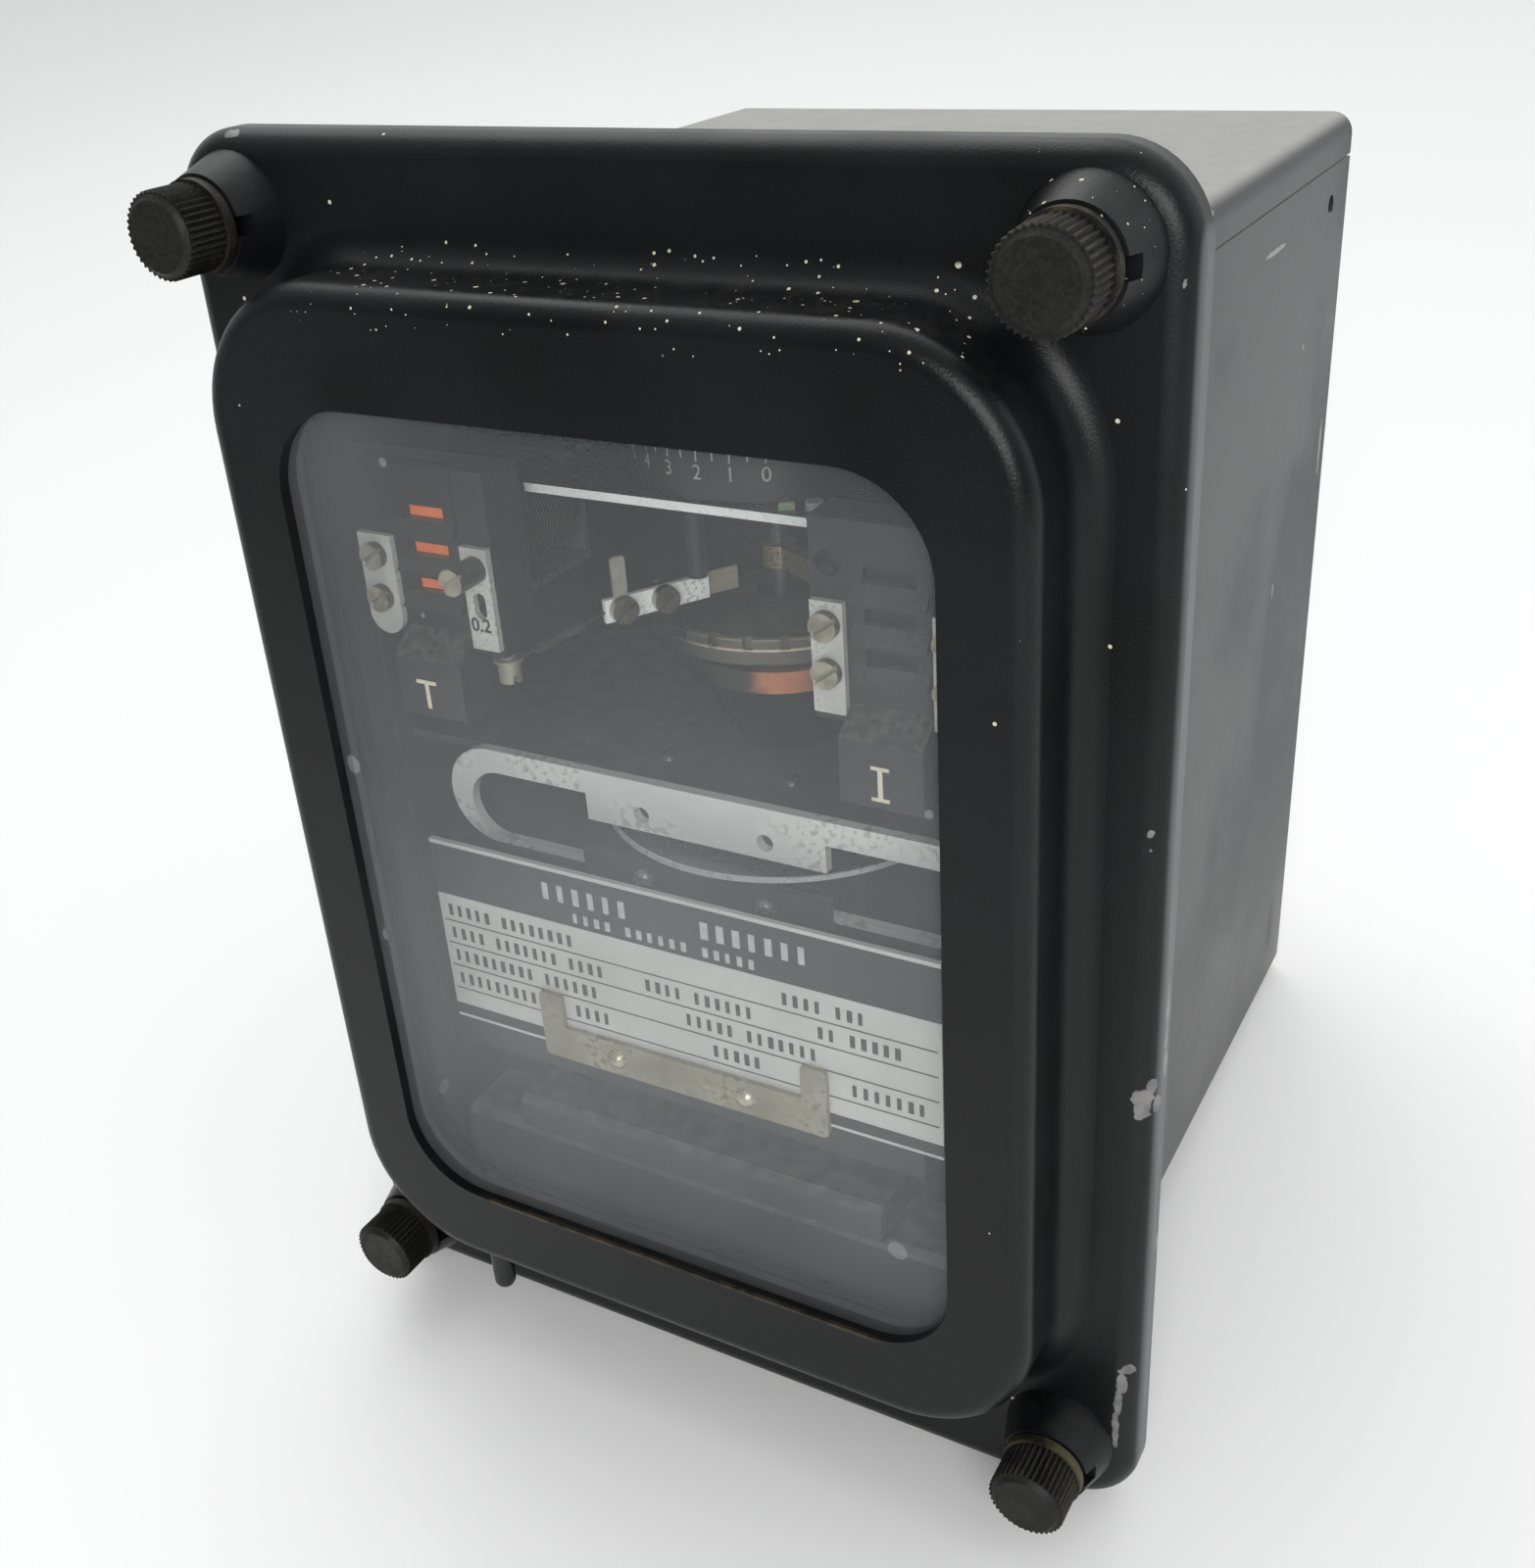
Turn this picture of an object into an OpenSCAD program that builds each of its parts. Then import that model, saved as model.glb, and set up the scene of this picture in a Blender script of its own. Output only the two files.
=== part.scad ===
// Induction-disc overcurrent relay in a draw-out sheet-steel case with a screwed-on window cover.
// X runs to the right seen from the front, Y runs from the front to the back, Z runs up.
// Sizes are laid out from the front face of the cover's flange and from the cover's lower edge.
// The origin then lies in the middle of the face that meets the panel.

/* [Cover] */
// Width of the cover over its skirt
cover_w = 168; // [160:1:180]
// Height of the cover over its skirt
cover_h = 232; // [224:1:244]
// Depth of the skirt behind the flange's front face
skirt_d = 7; // [6.5:0.5:9]
// Sheet thickness of the cover
cover_t = 2; // [1.6:0.1:2.4]
// Rise of the window frame in front of the flange
frame_rise = 16; // [14:0.5:19]
// Distance from the cover's sides to the window frame
frame_inset_x = 14; // [13:0.5:15.5]
// Distance from the cover's top to the window frame
frame_inset_top = 19; // [18:0.5:21]
// Distance from the cover's bottom to the window frame
frame_inset_bottom = 23.5; // [22:0.5:25]
// Corner radius of the flange
flange_r = 13; // [10:0.5:15]
// Corner radius of the window frame
frame_r = 24; // [21:0.5:28]
// Radius of the flange's front edge
flange_edge_r = 4; // [3:0.5:4.5]
// Radius of the window frame's front edge
frame_edge_r = 3.5; // [2.5:0.5:4.5]
// Radius of the hollow between window frame and flange
cove_r = 5; // [4:0.5:6]

/* [Window] */
// Width of the frame beside the window
window_band_x = 13.5; // [12:0.5:15]
// Width of the frame above the window
window_band_top = 18.5; // [16:0.5:21]
// Width of the frame below the window
window_band_bottom = 17; // [15:0.5:19]
// Corner radius of the window
window_r = 15; // [12:0.5:18]
// Thickness of the glass
glass_t = 3; // [2:0.5:4]
// Hidden margin of the glass round the window
glass_lap = 5; // [4:0.5:7]
// Corner radius of the glass
glass_r = 10; // [8:0.5:12]
// Thickness of the glass retainer
retainer_t = 1.5; // [1:0.1:2]
// Margin left open between the window's edge and the retainer
retainer_inset = 1; // [0.5:0.1:2]

/* [Thumb nuts] */
// Distance of the nuts from the cover's sides
nut_inset_x = 13.5; // [12.5:0.5:14.5]
// Distance of the upper nuts from the cover's top
nut_inset_top = 12.8; // [12.4:0.1:14]
// Distance of the lower nuts from the cover's bottom
nut_inset_bottom = 14.9; // [13:0.1:15.2]
// Radius of the knurled grip over its ridges
nut_r = 6.8; // [6:0.1:7.2]
// Radius of the smooth rim behind the grip
nut_rim_r = 7.2; // [6.8:0.1:7.6]
// Length of the nut
nut_l = 9.5; // [8:0.5:12]
// Thickness of the smooth rim
nut_rim_t = 1.6; // [1:0.1:2.5]
// Height of the bevel at the nut's front
nut_bevel = 0.8; // [0.5:0.1:1]
// Number of knurl ridges
knurl_n = 40; // [24:1:48]
// Depth of the knurl
knurl_depth = 0.5; // [0.2:0.1:0.8]
// Room between the stud's tip and the nut's closed front
stud_tip_gap = 1; // [0.5:0.1:2]
// Thickness of the nut's closed front
nut_wall = 2.5; // [1.5:0.1:3.5]
// Radius of the cover studs
stud_r = 2.4; // [2:0.1:2.8]
// Radial clearance between stud and nut
stud_gap = 0.35; // [0.3:0.05:0.5]
// Radius of a boss at the flange
boss_base_r = 10; // [9:0.5:11]
// Radius of a boss at its top
boss_top_r = 7.7; // [7.2:0.1:8.5]
// Height of a boss
boss_h = 7.4; // [6:0.1:9]
// Radial clearance between stud and boss
boss_gap = 0.7; // [0.5:0.1:1]
// Height of the slot for the seal wire
seal_slot_h = 3; // [2:0.5:4]
// Depth of the slot for the seal wire
seal_slot_d = 2.4; // [1.5:0.1:3]
// Gap between nut and boss
nut_seat_gap = 0.3; // [0.2:0.05:0.5]

/* [Reset rod] */
// Radius of the reset rod
rod_r = 2.2; // [1.8:0.1:2.3]
// Distance of the rod's middle from the window frame's left side
rod_inset = 22; // [20:0.5:26]
// Height of the rod's tip above the cover's lower edge
rod_tip_z = 6.5; // [5:0.5:9]
// Length of the rod inside the cover
rod_inner_l = 8; // [6:0.5:8.5]
// Thickness of the rod's collar
rod_collar_t = 1.2; // [0.8:0.1:2]
// Radial running clearance of the rod
rod_gap = 0.08; // [0.05:0.01:0.1]
// Room between the rod and the retainer
rod_room = 1.1; // [0.9:0.1:1.2]
// Gap between collar and cover
collar_gap = 0.3; // [0.2:0.05:0.5]

/* [Case] */
// Distance from the cover's sides to the case
body_inset_x = 15.5; // [15:0.5:18]
// Distance from the cover's top to the case
body_inset_top = 17.5; // [16:0.5:20]
// Distance from the cover's bottom to the case
body_inset_bottom = 19; // [17:0.5:21]
// Depth of the case behind the mounting flange
body_d = 146; // [138:1:160]
// Sheet thickness of the case
body_t = 1.5; // [1.2:0.1:2]
// Outer radius of the case's long edges
body_edge_r = 4; // [3:0.5:5]
// Height of the top sheet's turned-down lip
lip_h = 8; // [7:0.5:12]
// Open width of the seam below the lip
seam_gap = 0.5; // [0.3:0.1:1]
// Thickness of the lap strip behind the seam
lap_t = 1.2; // [1:0.1:1.5]
// Reach of the lap strip below the seam
lap_reach = 4; // [3:0.5:6]
// Radius of the hole in the right side
side_hole_r = 2; // [1.5:0.1:3]
// Distance of that hole from the back
side_hole_back = 13; // [10:0.5:18]
// Distance of that hole from the top
side_hole_drop = 15; // [13.5:0.5:20]

/* [Mounting flange] */
// Thickness of the cover gasket
gasket_t = 2.5; // [2:0.1:3]
// Gap between the flange and the cover's skirt
flange_gap = 0.4; // [0.3:0.1:0.8]
// Distance of the panel screw holes from the cover's sides
mount_inset = 11; // [10:0.5:12]
// Distance between the panel screw holes upwards
mount_dz = 106.4; // [100:0.2:112]
// Radius of the panel screw holes
mount_r = 2.4; // [2:0.1:2.5]
// Radius of the stud heads behind the flange
stud_head_r = 3.4; // [3:0.1:3.8]
// Thickness of the stud heads
stud_head_t = 1.6; // [1:0.1:2.5]

/* [Terminals] */
// Width of the terminal block
term_w = 112; // [104:1:120]
// Height of the terminal block
term_h = 44; // [40:1:50]
// Depth of the terminal block
term_d = 10; // [8:0.5:14]
// Height of the block above the cover's lower edge
term_z = 48; // [40:1:60]
// Terminals in a row
term_cols = 5; // [3:1:5]
// Distance between terminals in a row
term_pitch_x = 20; // [18:0.5:21]
// Distance between the two rows
term_pitch_z = 20; // [16:0.5:22]
// Radius of a terminal stud
term_r = 2.4; // [2:0.1:2.8]
// Length of a terminal stud behind the block
term_l = 15; // [12:0.5:20]
// Step from a terminal's thicker shank to its free end
term_step = 0.3; // [0.2:0.05:0.5]
// Radius of a terminal nut over its corners
term_nut_r = 5; // [4.5:0.1:5.5]
// Thickness of a terminal nut
term_nut_t = 3.6; // [3:0.1:5]

/* [Cradle] */
// Clearance between cradle and case
cradle_gap = 0.5; // [0.3:0.1:1]
// Sheet thickness of the cradle
cradle_t = 1.5; // [1.2:0.1:2]
// Free depth behind the cradle
cradle_back = 14; // [10:0.5:18]
// Free height above the cradle
cradle_head = 6; // [4:0.5:8]
// Thickness of the cradle's plates
plate_t = 1.5; // [1.2:0.1:2]
// Distance from the cover's top to the upper plate
upper_drop = 57.5; // [57:0.5:60]
// Distance from the flange's front face to the upper plate
upper_y = 15; // [14:0.5:17]
// Width of the upper plate between the units
tongue_w = 65; // [58:0.5:65]
// Height of the shelf's top above the cover's middle
shelf_rise = 8.2; // [6.2:0.2:9.2]
// Depth of the lower plate's top below the shelf's top
lower_drop = 28.7; // [27.2:0.1:30.7]
// Distance of the cable block behind the flange's front face
block_y = 10; // [9:0.5:12]
// Height of the cable block's top above the cover's lower edge
block_z = 66; // [63:0.5:68]
// Depth of the cable block
block_d = 30; // [24:0.5:36]

/* [Connection plug] */
// Width of the plug's upper step
plug_w = 77; // [72:0.5:84]
// Width of the plug's base
plug_base_w = 104; // [96:0.5:110]
// Height of the plug's top above the cover's lower edge
plug_z = 57; // [55:0.5:60]
// Height of the plug's upper step
plug_step_h = 7; // [5:0.5:9]
// Height of the plug's base
plug_base_h = 14; // [11:0.5:16]
// Reach of the plug in front of the flange's front face
plug_reach = 3.5; // [2:0.5:3.5]
// Number of contact fingers
finger_n = 10; // [6:2:10]
// Width of a contact finger
finger_w = 6; // [4:0.5:7]
// Height of a contact finger
finger_h = 8; // [6:0.5:10]
// Thickness of a contact finger
finger_t = 1; // [0.6:0.1:1.5]

/* [Disc and shaft] */
// Distance of the shaft to the right of the middle
shaft_x = 1.5; // [0:0.5:3]
// Distance of the shaft behind the flange's front face
shaft_y = 40; // [39.5:0.5:41]
// Radius of the shaft
shaft_r = 1.5; // [1.2:0.1:1.8]
// Radial running clearance of the shaft
shaft_gap = 0.05; // [0.03:0.01:0.1]
// End clearance of the shaft
shaft_end_gap = 0.2; // [0.1:0.05:0.4]
// Radius of the induction disc
disc_r = 35; // [33:0.5:36]
// Thickness of the induction disc
disc_t = 1; // [0.8:0.1:1.2]
// Depth of the disc below the shelf's top
disc_drop = 12.7; // [12.2:0.1:13.2]
// Radius of the disc's hub
hub_r = 4; // [3:0.5:5]
// Height of the disc's hub
hub_h = 5; // [3:0.5:6]
// Radius of the bearings
bearing_r = 4; // [3.5:0.1:4.5]
// Length of the shaft's journals
journal_l = 4; // [3:0.5:5]

/* [Spring ring and dial] */
// Height of the ring's seat above the middle between the shelf and the upper plate
ring_rise = -0.3; // [-1.6:0.1:2.4]
// Radius of the spring ring
ring_r = 24; // [22:0.5:25]
// Thickness of the spring ring
ring_t = 2.2; // [1.8:0.1:2.6]
// Number of notches in the spring ring
ring_notches = 24; // [16:1:30]
// Width of a notch
ring_notch_w = 1.6; // [1:0.1:2]
// Depth of a notch
ring_notch_d = 1.4; // [0.8:0.1:2]
// Radius of the barrel at the shelf
barrel_foot_r = 10; // [9:0.5:12]
// Radius of the barrel below the spring ring
barrel_r = 15; // [14:0.5:16]
// Radius of the neck that carries the spring ring
neck_r = 9; // [8:0.5:10]
// Radius of the barrel's bore
barrel_bore_r = 5; // [4.5:0.1:6]
// Radial running clearance of ring and dial
turn_gap = 0.08; // [0.05:0.01:0.1]
// Thickness of the copper band
copper_t = 1.5; // [1:0.1:2]
// Height of the copper band
copper_h = 4; // [3:0.5:5]
// Distance from the copper band to the spring ring
copper_drop = 7; // [6:0.5:9]
// Radius of the time dial
dial_r = 24; // [22:0.5:24.5]
// Height of the time dial
dial_h = 13; // [10:0.5:15]
// Wall of the time dial
dial_wall = 3; // [2:0.5:4]
// Gap under the time dial
dial_gap = 0.3; // [0.2:0.05:0.5]
// Radius of the time dial's hub
dial_hub_r = 8; // [7:0.5:10]
// Thickness of the time dial's floor
dial_floor = 3; // [2:0.5:4]
// Gap under the spring ring
ring_gap = 0.1; // [0.05:0.05:0.3]

/* [Contacts] */
// Height of the contact strip's lower edge above the ring's seat
contact_rise = 6.5; // [4:0.5:7]
// Height of the contact strip
contact_h = 4; // [3:0.5:5]
// Thickness of the contact strip
contact_t = 1; // [0.8:0.1:1.5]
// Length of the contact strip
contact_l = 19; // [17:0.5:20]
// Distance from the shaft forwards to the near end of the contact strip
contact_start = 18; // [17:0.5:19]
// Distance from the shaft leftwards to the near end of the contact strip
contact_side = 3.5; // [3:0.5:5]
// Angle of the contact strip from straight ahead
contact_deg = 32; // [28:1:36]
// Length of the contact leaf in front of the strip's end
leaf_l = 6; // [4:0.5:7]
// Thickness of the contact leaf
leaf_t = 0.5; // [0.3:0.1:0.8]
// Radius of the contact post
post_r = 1.6; // [1.2:0.1:2]
// Reach of the moving contact from the shaft
arm_l = 12; // [10:0.5:12]
// Width of the moving contact
arm_w = 2.4; // [2:0.1:3]
// Rest angle of the moving contact to the right of straight ahead
arm_deg = 60; // [50:1:80]

/* [Damping magnet] */
// Width of the magnet frame
loop_w = 109.6; // [104:0.2:112]
// Height of the magnet frame
loop_h = 19.5; // [18.5:0.1:20.5]
// Thickness of the magnet frame
loop_t = 2; // [1.5:0.1:2.5]
// Width of the magnet frame's band
loop_band = 4.6; // [4:0.1:5]
// Height of the magnet frame's lower leg
loop_foot = 1.3; // [1:0.1:2]
// Distance of the magnet frame behind the flange's front face
loop_y = 10; // [9:0.5:11]
// Width of the middle tab
tab_w = 48; // [46:0.5:52]
// Distance between the tab's holes
tab_hole_dx = 24.8; // [22:0.2:28]
// Radius of the tab's holes
tab_hole_r = 1.6; // [1.2:0.1:1.8]
// Clearance above and below the disc
air_gap = 1.8; // [1.5:0.1:2]
// Width of the magnets
magnet_w = 44; // [40:0.5:45]
// Depth of the magnets
magnet_d = 17; // [14:0.5:18]
// Thickness of the keeper plate in front of the lower magnet
keeper_t = 1.5; // [1:0.1:2]
// Width of the keeper plate
keeper_w = 49.8; // [48:0.2:52]
// Height of the keeper plate
keeper_h = 12.4; // [11:0.2:13]
// Distance from the keeper plate's top to its screws
keeper_screw_drop = 4.4; // [4:0.2:7]

/* [Drive magnet] */
// Width of a core limb
limb_w = 12; // [10:0.5:14]
// Depth of a core limb
limb_d = 16; // [14:0.5:18]
// Distance between the core limbs' middles
limb_pitch = 36; // [35:0.5:40]
// Distance of the core behind the shaft
core_back = 22; // [20:0.5:24]
// Height of the core's lower yoke
yoke_h = 12; // [10:0.5:14]
// Height of the drive coils
coil_h = 28; // [24:0.5:30]
// Winding thickness of the drive coils
coil_wall = 5; // [4:0.5:5.5]

/* [Nameplate] */
// Width of the nameplate
plate_w = 101; // [94:0.5:104]
// Height of the nameplate
plate_h = 39; // [36:0.5:41]
// Height of the nameplate's lower edge above the cover's lower edge
plate_z = 72.5; // [71:0.5:74]
// Sheet thickness of the nameplate and its clip
plate_sheet = 1; // [0.6:0.1:1.2]
// Distance of the nameplate's face in front of the flange's face
plate_reach = 3.2; // [2.5:0.1:4]
// Sheet thickness of the nameplate bracket
bracket_t = 1.5; // [1:0.1:2]
// Margin between bracket and nameplate
bracket_margin = 4; // [2:0.5:6]
// Width of the clip over its hooks
clip_w = 59; // [54:0.5:64]
// Height of the clip's strip
clip_h = 7; // [6:0.5:8]
// Height of the clip's hooks
clip_hook_h = 14; // [12:0.5:16]
// Width of a clip hook
clip_hook_w = 5; // [4:0.5:7]
// Radius of the clip's corners
clip_corner_r = 1; // [0.5:0.1:1.8]
// Distance of the clip's lower edge below the nameplate's
clip_drop = 2; // [1:0.5:3]
// Distance between the clip's screws
clip_screw_dx = 26.8; // [24:0.2:30]

/* [Target units] */
// Distance of the units from the middle
unit_x = 42.2; // [41:0.2:43]
// Distance from the cover's top to the units' top
unit_drop = 51; // [50:0.5:54]
// Height of a unit's base
unit_h = 32; // [31:0.5:34]
// Width of a unit's base
unit_w = 26; // [25:0.5:27]
// Depth of a unit's base
unit_d = 7.8; // [7:0.2:8.4]
// Distance of the base behind the flange's front face
unit_y = 0.2; // [0:0.1:0.5]
// Width of the louvred front
front_w = 13.2; // [12.6:0.2:14]
// Thickness of the louvred front
front_t = 1.5; // [1.2:0.1:1.8]
// Width of the lettered nose
nose_w = 13.8; // [13:0.2:15]
// Height of the lettered nose
nose_h = 10.5; // [9:0.5:12]
// Reach of the nose in front of the louvred front
nose_reach = 5; // [3:0.5:6]
// Height of the slope above the nose
nose_slope = 3.5; // [2:0.5:5]
// Depth of the nose
nose_d = 8; // [7:0.5:10]
// Number of louvre slots
slot_n = 3; // [2:1:3]
// Distance between louvre slots
slot_pitch = 6.4; // [6:0.1:7]
// Width of a louvre slot
slot_w = 8.4; // [7:0.2:9]
// Height of a louvre slot
slot_h = 2.5; // [2:0.1:3]
// Distance from the unit's top to the first slot
slot_drop = 8; // [7:0.5:9]
// Reach of the sloping ledge below a slot
ledge_reach = 1.6; // [1:0.1:2]
// Height of a ledge
ledge_h = 2.6; // [2:0.1:3]
// Width of a ledge
ledge_w = 12.4; // [10:0.2:12.6]
// Thickness of the target flag
flag_t = 0.8; // [0.6:0.1:1]
// Height of the raised bars on the flag
flag_bar_t = 0.3; // [0.2:0.05:0.4]
// Clearance before and behind the flag
flag_gap = 0.3; // [0.2:0.05:0.4]
// Width of a terminal strip
strip_w = 5.4; // [5:0.1:5.8]
// Width of the left unit's outer strip
strip_wide = 7; // [6.4:0.1:7.2]
// Thickness of a terminal strip
strip_t = 1.2; // [0.8:0.1:1.5]
// Height of a terminal strip
strip_h = 18; // [17:0.5:19]
// Gap between the lettered nose and a terminal strip
strip_gap = 0.4; // [0.1:0.1:0.6]
// Gap between the lettered nose and the right unit's outer strip
strip_far_gap = 0.1; // [0.1:0.1:0.6]
// Radius of the spare hole above the right unit's inner strip
spare_r = 2.1; // [1.2:0.1:2.2]
// Distance from the unit's top to the strips
strip_drop = 12.5; // [11.5:0.5:13]
// Thickness of the bracket behind a unit
unit_bracket_t = 1.5; // [1.2:0.1:2]
// Radius of a unit's coil
unit_coil_r = 9; // [8:0.5:9.5]
// Length of a unit's coil
unit_coil_l = 20; // [17:0.5:22]
// Radius of a unit's core
unit_core_r = 3; // [2.5:0.1:4]
// Thickness of a unit's yoke and armature
unit_yoke_t = 1.4; // [1:0.1:2]
// Air gap between core and armature
armature_gap = 1; // [0.8:0.1:1.4]

/* [Screws] */
// Radius of a strip screw's head
screw_head_r = 2.3; // [2:0.1:2.6]
// Height of a strip screw's head
screw_head_h = 1.6; // [1.2:0.1:2]
// Radius of a strip screw's shank
screw_r = 1.2; // [1:0.1:1.4]
// Length of a strip screw's shank
screw_l = 5; // [4:0.5:6]
// Radial clearance round a fixed screw or pin
fixed_gap = 0.05; // [0.02:0.01:0.1]
// Distance from a strip's top to its first screw
screw_drop = 3.6; // [3:0.2:4.4]
// Distance between a strip's screws
screw_pitch = 7.6; // [7:0.2:8.4]
// Reach of the tap strip's long hole above its lower screw place
tap_hole_rise = 2.2; // [1:0.1:2.6]
// Length of the tap screw's tall head
tap_screw_h = 6.5; // [5:0.5:7]
// Radius of a dome screw's head
dome_r = 2.1; // [1.8:0.1:2.4]
// Height of a dome screw's head
dome_h = 1.5; // [1:0.1:2]

/* [Hidden] */

// Cover and window
frame_w = cover_w - 2 * frame_inset_x;
frame_h = cover_h - frame_inset_top - frame_inset_bottom;
frame_zc = frame_inset_bottom + frame_h / 2;
cover_zc = cover_h / 2;
window_w = frame_w - 2 * window_band_x;
window_h = frame_h - window_band_top - window_band_bottom;
window_zc = frame_inset_bottom + window_band_bottom + window_h / 2;
hollow_w = frame_w - 2 * cover_t;
hollow_h = frame_h - 2 * cover_t;
hollow_r = frame_r - cover_t;
glass_y = cover_t - frame_rise;
retainer_y = glass_y + glass_t;

// Thumb nuts and studs
nut_x = cover_w / 2 - nut_inset_x;
nut_z0 = nut_inset_bottom;
nut_z1 = cover_h - nut_inset_top;
bevel_step = 0.1;
bevel_r = nut_r - knurl_depth - bevel_step;
nut_y1 = -boss_h - nut_seat_gap;
nut_y0 = nut_y1 - nut_l;
stud_tip_y = nut_y0 + nut_wall + stud_tip_gap;
boss_hole_r = stud_r + boss_gap;

// Reset rod
rod_y = retainer_y + retainer_t + rod_room + rod_r;
rod_x = frame_w / 2 - rod_inset;
rod_collar_r = rod_r + rod_room - collar_gap;
rod_in_corner = max(0, rod_x + rod_collar_r - hollow_w / 2 + hollow_r);
rod_corner_rise = hollow_r - sqrt(hollow_r * hollow_r - rod_in_corner * rod_in_corner);
rod_floor_z = frame_inset_bottom + cover_t + rod_corner_rise;
rod_seat_z = rod_floor_z + collar_gap;

// Case and mounting flange
gasket_y = cover_t;
flange_y = gasket_y + gasket_t;
flange_w = cover_w - 2 * (cover_t + flange_gap);
flange_h = cover_h - 2 * (cover_t + flange_gap);
plate_corner_r = flange_r - cover_t - flange_gap;
body_w = cover_w - 2 * body_inset_x;
flat_x = body_w / 2 - body_edge_r;
body_z0 = body_inset_bottom;
body_z1 = cover_h - body_inset_top;
body_y0 = skirt_d;
body_y1 = skirt_d + body_d;
inner_x = body_w / 2 - body_t;
inner_z0 = body_z0 + body_t;
inner_z1 = body_z1 - body_t;
seam_z = body_z1 - lip_h;
gasket_inset = 1;
mount_hole_room = 0.6;
mount_dx = cover_w - 2 * mount_inset;
term_shank_r = term_r + term_step;
term_shank_l = term_d + term_nut_t;

// Cradle and plates
cradle_y = unit_y + unit_d;
cradle_x = inner_x - lap_t - cradle_gap;
cradle_in = cradle_x - cradle_t;
cradle_y1 = body_y1 - body_t - cradle_back;
cradle_z1 = inner_z1 - cradle_head;
upper_z = cover_h - upper_drop;
shelf_z = cover_zc + shelf_rise;
lower_z = shelf_z - lower_drop;
plate_y1 = cradle_y1 - cradle_t;
loop_y1 = loop_y + loop_t;
cradle_rear_rim = 20;

// Disc, shaft, ring, dial
disc_z = shelf_z - disc_drop;
ring_z = (shelf_z + upper_z) / 2 + ring_rise;
neck_top_z = ring_z + ring_gap + ring_t + ring_gap;
copper_z1 = ring_z - copper_drop;
copper_z0 = copper_z1 - copper_h;
bearing_flange_r = 1.5 * bearing_r;
bearing_flange_t = 1.5;
bearing_step = 5;
lower_bearing_z1 = lower_z + bearing_step / 2 + bearing_step;
upper_bearing_z0 = upper_z - plate_t - bearing_step;
shaft_z0 = lower_bearing_z1 - journal_l + shaft_end_gap;
shaft_z1 = upper_bearing_z0 + journal_l - shaft_end_gap;
dial_z = upper_z + dial_gap;

// Damping magnet
gap_z0 = disc_z - air_gap;
gap_z1 = disc_z + disc_t + air_gap;
loop_z0 = shelf_z - loop_h;
keeper_y = loop_y - keeper_t;
keeper_screw_z = gap_z0 - keeper_screw_drop;
tab_hole_z = gap_z1 + 2 * tab_hole_r;
shelf_screw_y = loop_y1 + magnet_d / 2;
dome_ball_r = (dome_r * dome_r + dome_h * dome_h) / (2 * dome_h);

// Drive magnet
core_y = shaft_y + core_back;
core_rise = 26;
core_z0 = inner_z0 + core_rise;
coil_room = 0.1;

// Contacts
contact_z0 = ring_z + contact_rise;
contact_x = shaft_x - contact_side;
contact_y = shaft_y - contact_start;
leaf_lap = 8;
contact_screw_s = [8.4, 16];

// Nameplate
plate_y = -plate_reach;
bracket_y = plate_y + plate_sheet;
clip_y = plate_y - plate_sheet;
clip_z0 = plate_z - clip_drop;
clip_screw_z = clip_z0 + clip_h / 2;
bracket_foot = 6;

// Target units
unit_z1 = cover_h - unit_drop;
unit_z0 = unit_z1 - unit_h;
pocket_y = front_t + 2 * flag_gap + flag_bar_t + flag_t;
slot_z = unit_z1 - slot_drop;
nose_gap = 0.3;
spare_rise = 5.5;
nose_z1 = unit_z0 - nose_gap;
nose_z0 = nose_z1 - nose_h;
strip_z1 = unit_z1 - strip_drop;
strip_z0 = strip_z1 - strip_h;
strip_y = unit_y - strip_t;
strip_dx = (nose_w + strip_w) / 2 + strip_gap;
strip_far_dx = (nose_w + strip_w) / 2 + strip_far_gap;
wide_dx = strip_dx + (strip_wide - strip_w) / 2;
tap_hole_r = screw_r + fixed_gap;
screw_z = [strip_z1 - screw_drop, strip_z1 - screw_drop - screw_pitch];
bracket_y1 = cradle_y + unit_bracket_t;
unit_zc = (unit_z0 + unit_z1) / 2;
coil_y0 = bracket_y1 + unit_yoke_t;
core_proud = 0.5;
core_end_y = coil_y0 + unit_coil_l + core_proud;
armature_y = core_end_y + armature_gap;
yoke_room = 0.2;
yoke_z1 = unit_zc - unit_coil_r - yoke_room;
yoke_w = 16;
armature_lift = 0.3;
armature_room = 2;
flag_w = front_w - 4 * flag_gap;
flag_drop = slot_pitch / 2;
flag_z0 = slot_z - (slot_n - 1) * slot_pitch - flag_drop - flag_t;
flag_z1 = slot_z + flag_drop + slot_h / 2 + flag_t / 4;

// Overshoot of a cut past the face that it opens
cut = 1;

// Surface fineness of round faces
$fn = 64;

// Moves a piece from the layout to the middle of the panel face
module placed() {
    translate([0, -skirt_d, -cover_zc]) children();
}

// A box given by its width, its front and back and its bottom and top
module slab(w, y0, y1, z0, z1, x = 0) {
    translate([x - w / 2, y0, z0]) cube([w, y1 - y0, z1 - z0]);
}

// Stands a drawing of the XZ plane up and gives it depth from y0 to y1
module deep(y0, y1) {
    translate([0, y1, 0]) rotate([90, 0, 0]) linear_extrude(y1 - y0) children();
}

// A round bar along Y
module bar_y(r, y0, y1, x, z) {
    translate([x, y1, z]) rotate([90, 0, 0]) cylinder(h = y1 - y0, r = r);
}

// A rectangle with round corners about the origin
module round_rect(w, h, r) {
    square([w - 2 * r, h], center = true);
    square([w, h - 2 * r], center = true);
    for (x = [-1, 1], y = [-1, 1])
        translate([x * (w / 2 - r), y * (h / 2 - r)]) circle(r);
}

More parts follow.
